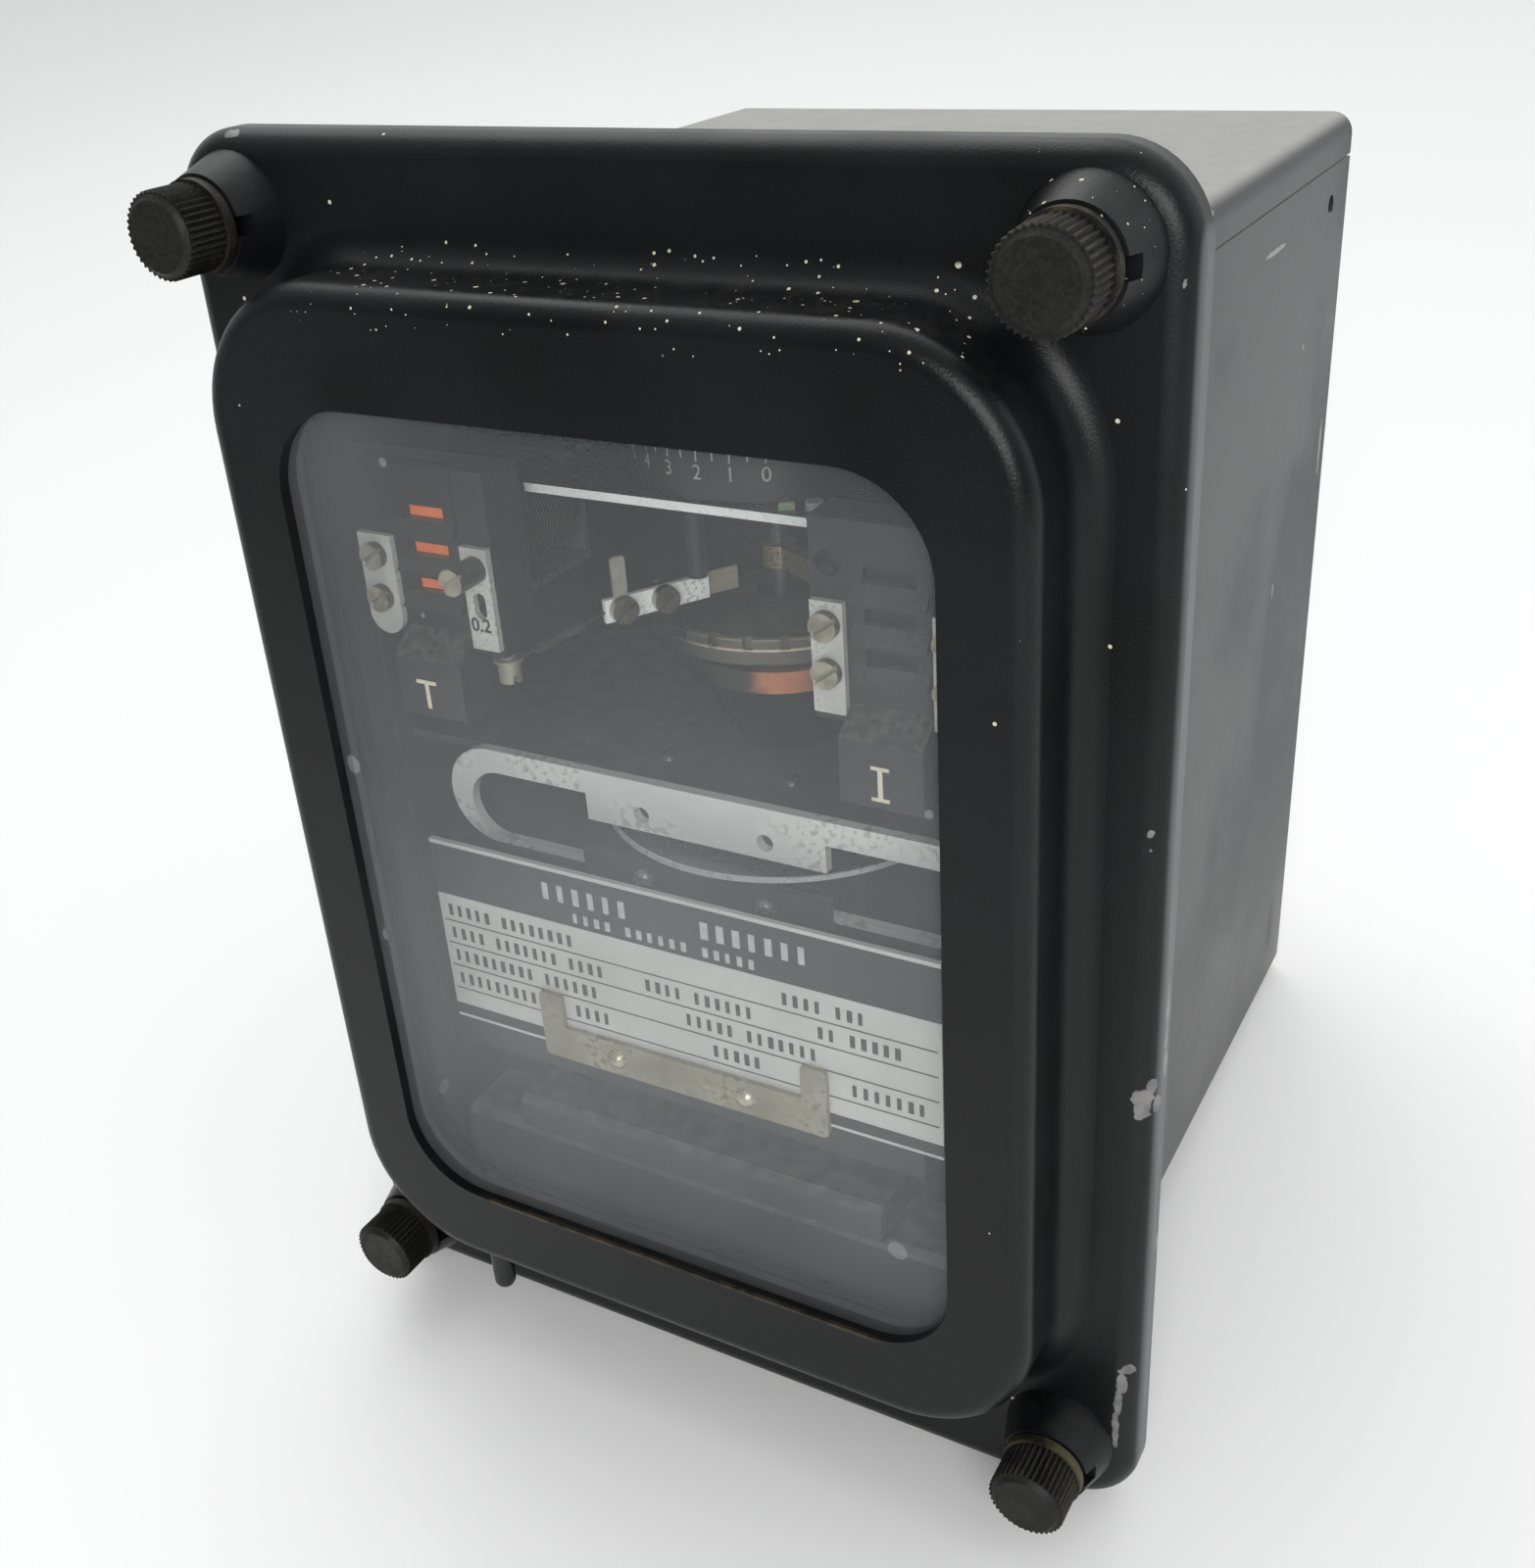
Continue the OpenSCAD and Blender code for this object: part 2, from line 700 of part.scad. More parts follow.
// Runs a profile round a rectangle with round corners; the profile's x starts at the corner's middle
module swept_edge(w, h, r) {
    for (side = [0 : 3]) {
        run = side % 2 == 0 ? h - 2 * r : w - 2 * r;
        reach = side % 2 == 0 ? w / 2 - r : h / 2 - r;
        rotate(90 * side) {
            translate([reach, 0, 0]) rotate([90, 0, 0]) linear_extrude(run, center = true) children();
            translate([reach, run / 2, 0]) rotate_extrude(angle = 90) children();
        }
    }
}

// A slab with round corners and a round front edge, standing up from the XY plane
module pillow(w, h, r, edge, d) {
    linear_extrude(d - edge) round_rect(w, h, r);
    linear_extrude(d) round_rect(w - 2 * edge, h - 2 * edge, r - edge);
    translate([0, 0, d - edge]) swept_edge(w, h, r)
        translate([r - edge, 0]) intersection() {
            circle(edge);
            square(edge);
        }
}

// The four places of the thumb nuts
module at_nuts() {
    for (x = [-nut_x, nut_x], z = [nut_z0, nut_z1])
        translate([x, 0, z]) children();
}

// The four panel screw places
module at_mounts() {
    for (x = [-1, 1], z = [-1, 1])
        translate([x * mount_dx / 2, 0, cover_zc + z * mount_dz / 2]) children();
}

// Outer form of the cover, facing the front
module cover_outer() {
    translate([0, skirt_d, cover_zc]) rotate([90, 0, 0])
        pillow(cover_w, cover_h, flange_r, flange_edge_r, skirt_d);
    translate([0, 0, frame_zc]) rotate([90, 0, 0]) {
        pillow(frame_w, frame_h, frame_r, frame_edge_r, frame_rise);
        swept_edge(frame_w, frame_h, frame_r)
            translate([frame_r, 0]) difference() {
                square(cove_r);
                translate([cove_r, cove_r]) circle(cove_r);
            }
    }
    at_nuts() {
        rotate([90, 0, 0]) cylinder(h = boss_h, r1 = boss_base_r, r2 = boss_top_r);
        bar_y(boss_base_r, 0, cover_t / 2, 0, 0);
    }
}

// Pressed cover with a raised window frame and a boss in each corner
module cover_shell() {
    color("#26272b") placed() difference() {
        cover_outer();
        translate([0, 0, cover_zc]) deep(cover_t, skirt_d + cut)
            round_rect(cover_w - 2 * cover_t, cover_h - 2 * cover_t, flange_r - cover_t);
        translate([0, 0, frame_zc]) deep(glass_y, skirt_d) round_rect(hollow_w, hollow_h, hollow_r);
        translate([0, 0, window_zc]) deep(-frame_rise - cut, 0) round_rect(window_w, window_h, window_r);
        at_nuts() {
            bar_y(boss_hole_r, -boss_h - cut, cover_t + cut, 0, 0);
            slab(2 * boss_base_r, -boss_h - cut, seal_slot_d - boss_h,
                -seal_slot_h / 2, seal_slot_h / 2);
        }
        translate([-rod_x, rod_y, 0]) cylinder(h = rod_floor_z + cut, r = rod_r + rod_gap);
    }
}

// Sheet of glass behind the window
module window_glass() {
    color("#9fb0bb") placed() translate([0, 0, window_zc]) deep(glass_y, retainer_y)
        round_rect(window_w + 2 * glass_lap, window_h + 2 * glass_lap, glass_r);
}

// Sheet frame that holds the glass in the cover
module glass_retainer() {
    color("#303136") placed() difference() {
        translate([0, 0, frame_zc]) deep(retainer_y, retainer_y + retainer_t)
            round_rect(hollow_w, hollow_h, hollow_r);
        translate([0, 0, window_zc]) deep(retainer_y - cut, retainer_y + retainer_t + cut)
            round_rect(window_w + 2 * retainer_inset, window_h + 2 * retainer_inset,
                window_r + retainer_inset);
    }
}

// Knurled thumb nut with a smooth rear rim and a blind bore
module thumb_nut(x, z) {
    ridge = 360 / knurl_n;
    grip_l = nut_l - nut_rim_t - nut_bevel;
    color("#33342f") placed() difference() {
        union() {
            bar_y(nut_rim_r, nut_y1 - nut_rim_t, nut_y1, x, z);
            translate([x, nut_y1 - nut_rim_t, z]) rotate([90, 0, 0]) {
                linear_extrude(grip_l) polygon([for (i = [0 : knurl_n - 1], k = [0, 1])
                    (nut_r - k * knurl_depth) * [cos((i + k / 2) * ridge), sin((i + k / 2) * ridge)]]);
                translate([0, 0, grip_l]) cylinder(h = nut_bevel, r1 = bevel_r, r2 = bevel_r - nut_bevel);
            }
        }
        bar_y(stud_r + stud_gap, nut_y0 + nut_wall, nut_y1 + cut, x, z);
    }
}

module thumb_nut_top_left() { thumb_nut(-nut_x, nut_z1); }
module thumb_nut_top_right() { thumb_nut(nut_x, nut_z1); }
module thumb_nut_bottom_left() { thumb_nut(-nut_x, nut_z0); }
module thumb_nut_bottom_right() { thumb_nut(nut_x, nut_z0); }

// Round-ended push rod under the cover with its inner collar
module reset_rod() {
    color("#1f1f22") placed() translate([-rod_x, rod_y, 0]) {
        translate([0, 0, rod_tip_z + rod_r]) sphere(rod_r);
        translate([0, 0, rod_tip_z + rod_r])
            cylinder(h = rod_seat_z + rod_inner_l - rod_tip_z - rod_r, r = rod_r);
        translate([0, 0, rod_seat_z]) cylinder(h = rod_collar_t, r = rod_collar_r);
    }
}

// Steel ring behind the cover that is screwed to the panel
module mounting_flange() {
    color("#3a3b40") placed() difference() {
        translate([0, 0, cover_zc]) deep(flange_y, skirt_d) round_rect(flange_w, flange_h, plate_corner_r);
        slab(2 * inner_x, flange_y - cut, skirt_d + cut, inner_z0, inner_z1);
        at_nuts() bar_y(stud_r + fixed_gap, flange_y - cut, skirt_d + cut, 0, 0);
        at_mounts() bar_y(mount_r, flange_y - cut, skirt_d + cut, 0, 0);
    }
}

// Soft seal between cover and mounting flange
module flange_gasket() {
    color("#1b1b1c") placed() difference() {
        translate([0, 0, cover_zc]) deep(gasket_y, flange_y) round_rect(flange_w, flange_h, plate_corner_r);
        translate([0, 0, frame_zc]) deep(gasket_y - cut, flange_y + cut)
            round_rect(hollow_w + 2 * gasket_inset, hollow_h + 2 * gasket_inset, hollow_r + gasket_inset);
        at_nuts() bar_y(boss_hole_r, gasket_y - cut, flange_y + cut, 0, 0);
        at_mounts() bar_y(mount_r + mount_hole_room, gasket_y - cut, flange_y + cut, 0, 0);
    }
}

// Headed studs that carry the thumb nuts
module cover_studs() {
    color("#8b8468") placed() at_nuts() {
        bar_y(stud_r, stud_tip_y, skirt_d, 0, 0);
        bar_y(stud_head_r, skirt_d, skirt_d + stud_head_t, 0, 0);
    }
}

// Side, bottom and back sheet of the case with lap strips under the seam
module case_wrap() {
    lower_h = seam_z - body_z0;
    color("#3c3d42") placed() difference() {
        union() {
            deep(body_y0, body_y1) difference() {
                union() {
                    translate([-body_w / 2, body_z0 + body_edge_r]) square([body_w, lower_h - body_edge_r]);
                    translate([-flat_x, body_z0]) square([2 * flat_x, lower_h]);
                    for (x = [-1, 1])
                        translate([x * flat_x, body_z0 + body_edge_r]) circle(body_edge_r);
                }
                translate([-inner_x, inner_z0]) square([2 * inner_x, lower_h]);
            }
            slab(2 * inner_x, body_y1 - body_t, body_y1, inner_z0, inner_z1);
            for (x = [-1, 1])
                slab(lap_t, body_y0, body_y1 - body_t, seam_z - lap_reach, inner_z1 - body_edge_r,
                    x * (inner_x - lap_t / 2));
        }
        translate([body_w / 2 - body_t - lap_t, body_y1 - side_hole_back, body_z1 - side_hole_drop])
            rotate([0, 90, 0]) cylinder(h = body_t + lap_t + cut, r = side_hole_r);
    }
}

// Top sheet of the case with turned-down lips
module case_top() {
    lip_z = seam_z + seam_gap;
    color("#45464b") placed() deep(body_y0, body_y1) difference() {
        union() {
            translate([-body_w / 2, lip_z]) square([body_w, body_z1 - body_edge_r - lip_z]);
            translate([-flat_x, lip_z]) square([2 * flat_x, body_z1 - lip_z]);
            for (x = [-1, 1])
                translate([x * flat_x, body_z1 - body_edge_r]) circle(body_edge_r);
        }
        translate([-inner_x, lip_z - cut]) square([2 * inner_x, inner_z1 - lip_z + cut]);
    }
}

// The places of the rear terminals
module at_terminals() {
    for (i = [0 : term_cols - 1], k = [-1, 1])
        translate([(i - (term_cols - 1) / 2) * term_pitch_x, body_y1,
            term_z + (term_h + k * term_pitch_z) / 2]) rotate([-90, 0, 0]) children();
}

// Moulded block at the back for the outside wires
module terminal_block() {
    color("#202022") placed() difference() {
        slab(term_w, body_y1, body_y1 + term_d, term_z, term_z + term_h);
        at_terminals() translate([0, 0, -cut]) cylinder(h = term_d + 2 * cut, r = term_shank_r + fixed_gap);
    }
}

// Stepped shanks of the rear terminals, plain where they are threaded
module terminal_studs() {
    color("#b0a98c") placed() at_terminals() {
        cylinder(h = term_shank_l, r = term_shank_r);
        cylinder(h = term_d + term_l, r = term_r);
    }
}

// Hexagon nuts on the rear terminals
module terminal_nuts() {
    color("#b8b3a0") placed() at_terminals() translate([0, 0, term_d]) difference() {
        cylinder(h = term_nut_t, r = term_nut_r, $fn = 6);
        translate([0, 0, -cut]) cylinder(h = term_nut_t + 2 * cut, r = term_shank_r + fixed_gap);
    }
}

// Folded sheet that carries the inner unit and slides out of the case
module cradle_frame() {
    color("#2b2c30") placed() difference() {
        slab(2 * cradle_x, cradle_y, cradle_y1, inner_z0, cradle_z1);
        slab(2 * cradle_in, cradle_y - cut, plate_y1, inner_z0 - cut, cradle_z1 + cut);
        slab(2 * (cradle_in - cradle_rear_rim), plate_y1 - cut, cradle_y1 + cut,
            inner_z0 + cradle_rear_rim, cradle_z1 - cradle_rear_rim);
    }
}

// Hole for a bearing or the shaft through a level plate
module shaft_hole(r, z0, z1) {
    translate([shaft_x, shaft_y, z0 - cut]) cylinder(h = z1 - z0 + 2 * cut, r = r);
}

// Plated plate that carries the upper bearing and the dial
module upper_plate() {
    color("#c9d2cc") placed() difference() {
        union() {
            slab(tongue_w, upper_y, plate_y1, upper_z - plate_t, upper_z);
            slab(2 * cradle_in, armature_y + 2 * armature_room, plate_y1, upper_z - plate_t, upper_z);
        }
        shaft_hole(bearing_r + fixed_gap, upper_z - plate_t, upper_z);
    }
}

// Dark plate above the disc
module shelf_plate() {
    color("#4a4b4d") placed() difference() {
        slab(2 * cradle_in, loop_y1, plate_y1, shelf_z - plate_t, shelf_z);
        shaft_hole(barrel_bore_r, shelf_z - plate_t, shelf_z);
        for (x = [-1, 1])
            translate([x * tab_hole_dx / 2, shelf_screw_y, shelf_z - plate_t - cut])
                cylinder(h = plate_t + 2 * cut, r = screw_r + fixed_gap);
    }
}

// Plate below the disc with openings for the core's limbs
module lower_plate() {
    color("#4a4b4d") placed() difference() {
        slab(2 * cradle_in, loop_y1, plate_y1, lower_z - plate_t, lower_z);
        shaft_hole(bearing_r + fixed_gap, lower_z - plate_t, lower_z);
        for (x = [-1, 1])
            slab(limb_w, core_y, core_y + limb_d, lower_z - plate_t - cut, lower_z + cut,
                x * limb_pitch / 2);
    }
}

// Moulded block at the bottom that takes the connection plug
module cable_block() {
    color("#232326") placed() slab(2 * cradle_in, block_y, block_y + block_d, inner_z0, block_z);
}

// Contact fingers on the cable block
module contact_fingers() {
    pitch = 2 * cradle_in / (finger_n + 1);
    color("#b58a4a") placed() for (i = [1 : finger_n])
        slab(finger_w, block_y + block_d / 2, block_y + block_d / 2 + finger_t, block_z, block_z + finger_h,
            i * pitch - cradle_in);
}

// Moulded plug with a stepped front
module connection_plug() {
    step_z = plug_z - plug_step_h;
    edge = 1.5;
    color("#2a2b2e") placed() rotate([90, 0, 90]) {
        linear_extrude(plug_w, center = true) polygon([[-plug_reach, step_z], [block_y, step_z],
            [block_y, plug_z], [edge - plug_reach, plug_z], [-plug_reach, plug_z - edge]]);
        linear_extrude(plug_base_w, center = true) polygon([[-plug_reach, step_z - plug_base_h],
            [block_y, step_z - plug_base_h], [block_y, step_z], [edge - plug_reach, step_z],
            [-plug_reach, step_z - edge]]);
    }
}

// Stamped light-alloy frame that carries both damping magnets round the disc's edge
module magnet_frame() {
    inner_h = loop_h - loop_band - loop_foot;
    slot_zc = loop_z0 + loop_foot + inner_h / 2;
    color("#b9bcbb") placed() deep(loop_y, loop_y1) difference() {
        union() {
            difference() {
                translate([0, loop_z0 + loop_h / 2]) round_rect(loop_w, loop_h, loop_h / 2 - fixed_gap);
                translate([0, slot_zc])
                    round_rect(loop_w - 2 * loop_band, inner_h, inner_h / 2 - fixed_gap);
            }
            translate([-tab_w / 2, gap_z1]) square([tab_w, shelf_z - gap_z1]);
        }
        for (x = [-1, 1])
            translate([x * tab_hole_dx / 2, tab_hole_z]) circle(tab_hole_r);
    }
}

// Magnet blocks above and below the disc
module damping_magnets() {
    color("#3b3b3d") placed() {
        slab(magnet_w, loop_y1, loop_y1 + magnet_d, gap_z1, shelf_z - plate_t);
        slab(magnet_w, loop_y1, loop_y1 + magnet_d, lower_z, gap_z0);
    }
}

// Dark plate screwed to the front of the lower magnet
module keeper_plate() {
    color("#3d3e42") placed() difference() {
        slab(keeper_w, keeper_y, loop_y, gap_z0 - keeper_h, gap_z0);
        for (x = [-1, 1])
            bar_y(screw_r + fixed_gap, keeper_y - cut, loop_y + cut, x * tab_hole_dx / 2, keeper_screw_z);
    }
}

// Folded sheet that holds the nameplate in front of the inner unit
module nameplate_bracket() {
    w = plate_w - 2 * bracket_margin;
    color("#333439") placed() {
        slab(w, bracket_y, bracket_y + bracket_t, block_z, plate_z + plate_h - bracket_margin);
        slab(w, bracket_y, block_y + bracket_foot, block_z, block_z + bracket_t);
    }
}

// Printed plate
module nameplate() {
    color("#b4b7b6") placed() slab(plate_w, plate_y, bracket_y, plate_z, plate_z + plate_h);
}

// Stamped clip with a hook at each end
module nameplate_clip() {
    hook_rise = clip_hook_h - clip_h / 2;
    color("#cbc6ad") placed() deep(clip_y, plate_y) translate([0, clip_screw_z]) difference() {
        union() {
            round_rect(clip_w, clip_h, clip_corner_r);
            for (x = [-1, 1])
                translate([x * (clip_w - clip_hook_w) / 2, hook_rise / 2])
                    round_rect(clip_hook_w, hook_rise, clip_corner_r);
        }
        for (x = [-1, 1])
            translate([x * clip_screw_dx / 2, 0]) circle(screw_r + fixed_gap);
    }
}

// A dome-headed screw with its head above the XY plane and its shank below it
module dome_screw(shank) {
    intersection() {
        translate([0, 0, dome_h - dome_ball_r]) sphere(dome_ball_r);
        cylinder(h = dome_h, r = dome_r);
    }
    translate([0, 0, -shank]) cylinder(h = shank, r = screw_r);
}

// Dome screws of the clip, the keeper and the shelf
module dome_screws() {
    color("#a8a69a") placed() for (x = [-1, 1]) {
        translate([x * clip_screw_dx / 2, clip_y, clip_screw_z]) rotate([90, 0, 0]) dome_screw(plate_sheet);
        translate([x * tab_hole_dx / 2, keeper_y, keeper_screw_z]) rotate([90, 0, 0]) dome_screw(keeper_t);
        translate([x * tab_hole_dx / 2, shelf_screw_y, shelf_z]) dome_screw(plate_t);
    }
}

// Laminated core below the disc and its return bar above it
module drive_core() {
    color("#55565a") placed() {
        for (x = [-1, 1])
            slab(limb_w, core_y, core_y + limb_d, core_z0, gap_z0, x * limb_pitch / 2);
        slab(limb_pitch + limb_w, core_y, core_y + limb_d, core_z0 - yoke_h, core_z0);
        slab(limb_pitch + limb_w, core_y, core_y + limb_d, gap_z1, shelf_z - plate_t);
    }
}

// Wound coils on the core's limbs
module drive_coils() {
    hole_w = limb_w + 2 * coil_room;
    hole_d = limb_d + 2 * coil_room;
    color("#6b3f22") placed() for (x = [-1, 1])
        translate([x * limb_pitch / 2, core_y + limb_d / 2, core_z0]) linear_extrude(coil_h) difference() {
            round_rect(hole_w + 2 * coil_wall, hole_d + 2 * coil_wall, coil_wall);
            square([hole_w, hole_d], center = true);
        }
}

// Bearing screw in the lower plate with a blind bore at the top
module lower_bearing() {
    color("#b08d4f") placed() translate([shaft_x, shaft_y, 0]) difference() {
        union() {
            translate([0, 0, lower_z - plate_t - bearing_step])
                cylinder(h = lower_bearing_z1 - lower_z + plate_t + bearing_step, r = bearing_r);
            translate([0, 0, lower_z]) cylinder(h = bearing_flange_t, r = bearing_flange_r);
        }
        translate([0, 0, lower_bearing_z1 - journal_l])
            cylinder(h = journal_l + cut, r = shaft_r + shaft_gap);
    }
}

// Bearing in the upper plate that also carries the time dial
module upper_bearing() {
    color("#b08d4f") placed() translate([shaft_x, shaft_y, 0]) difference() {
        union() {
            translate([0, 0, upper_bearing_z0])
                cylinder(h = dial_z + dial_h - upper_bearing_z0, r = bearing_r);
            translate([0, 0, upper_z - plate_t - bearing_flange_t])
                cylinder(h = bearing_flange_t, r = bearing_flange_r);
        }
        translate([0, 0, upper_bearing_z0 - cut]) cylinder(h = journal_l + cut, r = shaft_r + shaft_gap);
    }
}

// Moulded barrel on the shelf that carries the spring ring
module spring_barrel() {
    color("#17171a") placed() translate([shaft_x, shaft_y, 0]) rotate_extrude() polygon([
        [barrel_bore_r, shelf_z], [barrel_foot_r, shelf_z], [barrel_r + copper_t, copper_z0],
        [barrel_r, copper_z0], [barrel_r, ring_z],
        [neck_r, ring_z], [neck_r, neck_top_z], [barrel_bore_r, neck_top_z]]);
}

// Copper band round the barrel
module copper_band() {
    color("#b06a45") placed() translate([shaft_x, shaft_y, copper_z0]) difference() {
        cylinder(h = copper_h, r = barrel_r + fixed_gap + copper_t);
        translate([0, 0, -cut]) cylinder(h = copper_h + 2 * cut, r = barrel_r + fixed_gap);
    }
}

// Notched ring that sets the control spring
module spring_ring() {
    color("#a08250") placed() translate([shaft_x, shaft_y, ring_z + ring_gap]) difference() {
        cylinder(h = ring_t, r = ring_r);
        translate([0, 0, -cut]) cylinder(h = ring_t + 2 * cut, r = neck_r + turn_gap);
        for (i = [0 : ring_notches - 1])
            rotate(i * 360 / ring_notches) translate([ring_r - ring_notch_d, -ring_notch_w / 2, -cut])
                cube([2 * ring_notch_d, ring_notch_w, ring_t + 2]);
    }
}

// Cup-shaped setting dial on the upper bearing
module time_dial() {
    color("#1c1c1f") placed() translate([shaft_x, shaft_y, dial_z]) rotate_extrude() polygon([
        [bearing_r + turn_gap, 0], [dial_r, 0], [dial_r, dial_h], [dial_r - dial_wall, dial_h],
        [dial_r - dial_wall, dial_floor], [dial_hub_r, dial_floor], [dial_hub_r, dial_h],
        [bearing_r + turn_gap, dial_h]]);
}

// Aluminium induction disc with its hub
module induction_disc() {
    color("#c2c5c6") placed() translate([shaft_x, shaft_y, 0]) difference() {
        union() {
            translate([0, 0, disc_z]) cylinder(h = disc_t, r = disc_r);
            translate([0, 0, disc_z - hub_h]) cylinder(h = hub_h, r = hub_r);
        }
        translate([0, 0, disc_z - hub_h - cut])
            cylinder(h = hub_h + disc_t + 2 * cut, r = shaft_r + fixed_gap);
    }
}

// Steel shaft of the disc
module disc_shaft() {
    color("#9a9da0") placed() translate([shaft_x, shaft_y, shaft_z0])
        cylinder(h = shaft_z1 - shaft_z0, r = shaft_r);
}

// Moving contact on the shaft
module moving_contact() {
    grip_r = 3;
    color("#b9a36a") placed() translate([shaft_x, shaft_y, contact_z0]) difference() {
        union() {
            cylinder(h = contact_h, r = grip_r);
            rotate(arm_deg - 90) translate([0, -arm_w / 2, 0]) cube([arm_l, arm_w, contact_h]);
        }
        translate([0, 0, -cut]) cylinder(h = contact_h + 2 * cut, r = shaft_r + fixed_gap);
    }
}

// Puts a shape at the contact strip: X runs along the strip away from the shaft, Y to its right side
module at_contact() {
    translate([contact_x, contact_y, contact_z0]) rotate(-90 - contact_deg) children();
}

// Strip of the fixed contact
module contact_strip() {
    color("#c4c9c3") placed() at_contact() difference() {
        translate([0, -contact_t, 0]) cube([contact_l, contact_t, contact_h]);
        for (s = contact_screw_s)
            translate([s, cut, contact_h / 2]) rotate([90, 0, 0])
                cylinder(h = contact_t + 2 * cut, r = screw_r + fixed_gap);
    }
}

// Spring leaf behind the strip
module contact_leaf() {
    color("#8d8468") placed() at_contact()
        translate([-leaf_l, -contact_t - leaf_t, 0])
            cube([leaf_l + leaf_lap - screw_head_r, leaf_t, contact_h]);
}

// Post between the upper plate and the contact strip
module contact_post() {
    color("#9b9d98") placed() at_contact()
        translate([post_r, -contact_t / 2, contact_h])
            cylinder(h = upper_z - plate_t - contact_z0 - contact_h, r = post_r);
}

// A slotted screw with its head in front of the XY plane and its shank behind it
module slotted_screw(head, shank) {
    slot = 0.7;
    difference() {
        cylinder(h = head, r = screw_head_r);
        translate([0, 0, head]) rotate(35) cube([2 * screw_head_r + cut, slot, 2 * slot], center = true);
    }
    translate([0, 0, -shank]) cylinder(h = shank, r = screw_r);
}

// The screws of the units' strips, as x, z and height of head
function strip_places() = concat(
    [for (z = screw_z) [-unit_x - wide_dx, z, screw_head_h]],
    [[-unit_x + strip_dx, screw_z[0], tap_screw_h]],
    [for (dx = [-strip_dx, strip_far_dx], z = screw_z) [unit_x + dx, z, screw_head_h]]);

// Screws of the terminal strips and the contact strip
module slotted_screws() {
    color("#9c9a8b") placed() {
        for (p = strip_places())
            translate([p[0], strip_y, p[1]]) rotate([90, 0, 0]) slotted_screw(p[2], screw_l);
        at_contact() for (s = contact_screw_s)
            translate([s, 0, contact_h / 2]) rotate([-90, 0, 0]) slotted_screw(screw_head_h, contact_t);
    }
}

// Plates that carry the two units on the cradle
module unit_brackets() {
    reach = unit_x - unit_w / 2;
    color("#3f4045") placed() for (x = [-1, 1])
        slab(cradle_in - reach, cradle_y, bracket_y1, unit_z0, unit_z1, x * (cradle_in + reach) / 2);
}

// Moulded base of a unit with a pocket for the flag, holes for the strip screws and maybe a spare hole
module unit_base(x, spare) {
    color("#26272a") placed() difference() {
        slab(unit_w, unit_y, cradle_y, unit_z0, unit_z1, x);
        slab(front_w, unit_y - cut, pocket_y, unit_z0 - cut, unit_z1 + cut, x);
        for (dx = x < 0 ? [-wide_dx, strip_dx] : [-strip_dx, strip_far_dx], z = screw_z)
            bar_y(screw_r + fixed_gap, unit_y - cut, strip_y + screw_l + fixed_gap, x + dx, z);
        if (spare)
            bar_y(spare_r, unit_y - cut, pocket_y, x - strip_dx, strip_z1 + spare_rise);
    }
}

// Louvred front of a unit with its lettered nose
module unit_front(x) {
    color("#2c2d31") placed() difference() {
        union() {
            slab(front_w, 0, front_t, nose_z0, unit_z1, x);
            translate([x, 0, 0]) rotate([90, 0, 90]) linear_extrude(nose_w, center = true) polygon([
                [0, unit_z0 + nose_slope], [-nose_reach, nose_z1], [-nose_reach, nose_z0],
                [nose_d - nose_reach, nose_z0], [nose_d - nose_reach, nose_z1], [0, nose_z1]]);
            for (i = [0 : slot_n - 1])
                translate([x, 0, slot_z - i * slot_pitch - slot_h / 2]) rotate([90, 0, 90])
                    linear_extrude(ledge_w, center = true)
                        polygon([[0, 0], [-ledge_reach, -ledge_h], [0, -ledge_h]]);
        }
        for (i = [0 : slot_n - 1])
            slab(slot_w, -cut, front_t + cut, slot_z - i * slot_pitch - slot_h / 2,
                slot_z - i * slot_pitch + slot_h / 2, x);
    }
}

// A terminal strip with its screw holes
module strip(x) {
    difference() {
        slab(strip_w, strip_y, unit_y, strip_z0, strip_z1, x);
        for (z = screw_z)
            bar_y(screw_r + fixed_gap, strip_y - cut, unit_y + cut, x, z);
    }
}

// Soldered coil of a unit
module unit_coil(x) {
    color("#5b3a25") placed() translate([x, 0, unit_zc]) difference() {
        bar_y(unit_coil_r, coil_y0, coil_y0 + unit_coil_l, 0, 0);
        bar_y(unit_core_r + fixed_gap, coil_y0 - cut, coil_y0 + unit_coil_l + cut, 0, 0);
    }
}

// Folded yoke of a unit with its core
module unit_yoke(x) {
    color("#6a6c70") placed() {
        slab(yoke_w, bracket_y1, coil_y0, yoke_z1 - unit_yoke_t, unit_zc + unit_coil_r, x);
        slab(yoke_w, bracket_y1, armature_y + unit_yoke_t, yoke_z1 - unit_yoke_t, yoke_z1, x);
        bar_y(unit_core_r, bracket_y1, core_end_y, x, unit_zc);
    }
}

// Hinged armature plate behind the core
module unit_armature(x) {
    color("#77797c") placed() slab(yoke_w, armature_y, armature_y + unit_yoke_t, yoke_z1 + armature_lift,
        unit_zc + unit_coil_r, x);
}

// Sliding flag with raised bars; lift moves the bars off the slots
module unit_flag(x, lift) {
    y = front_t + flag_gap;
    color("#d0592a") placed() {
        slab(flag_w, y + flag_bar_t, y + flag_bar_t + flag_t, flag_z0, flag_z1, x);
        for (i = [0 : slot_n - 1])
            slab(slot_w, y, y + flag_bar_t, slot_z - i * slot_pitch + lift - slot_h / 2,
                slot_z - i * slot_pitch + lift + slot_h / 2, x);
    }
}

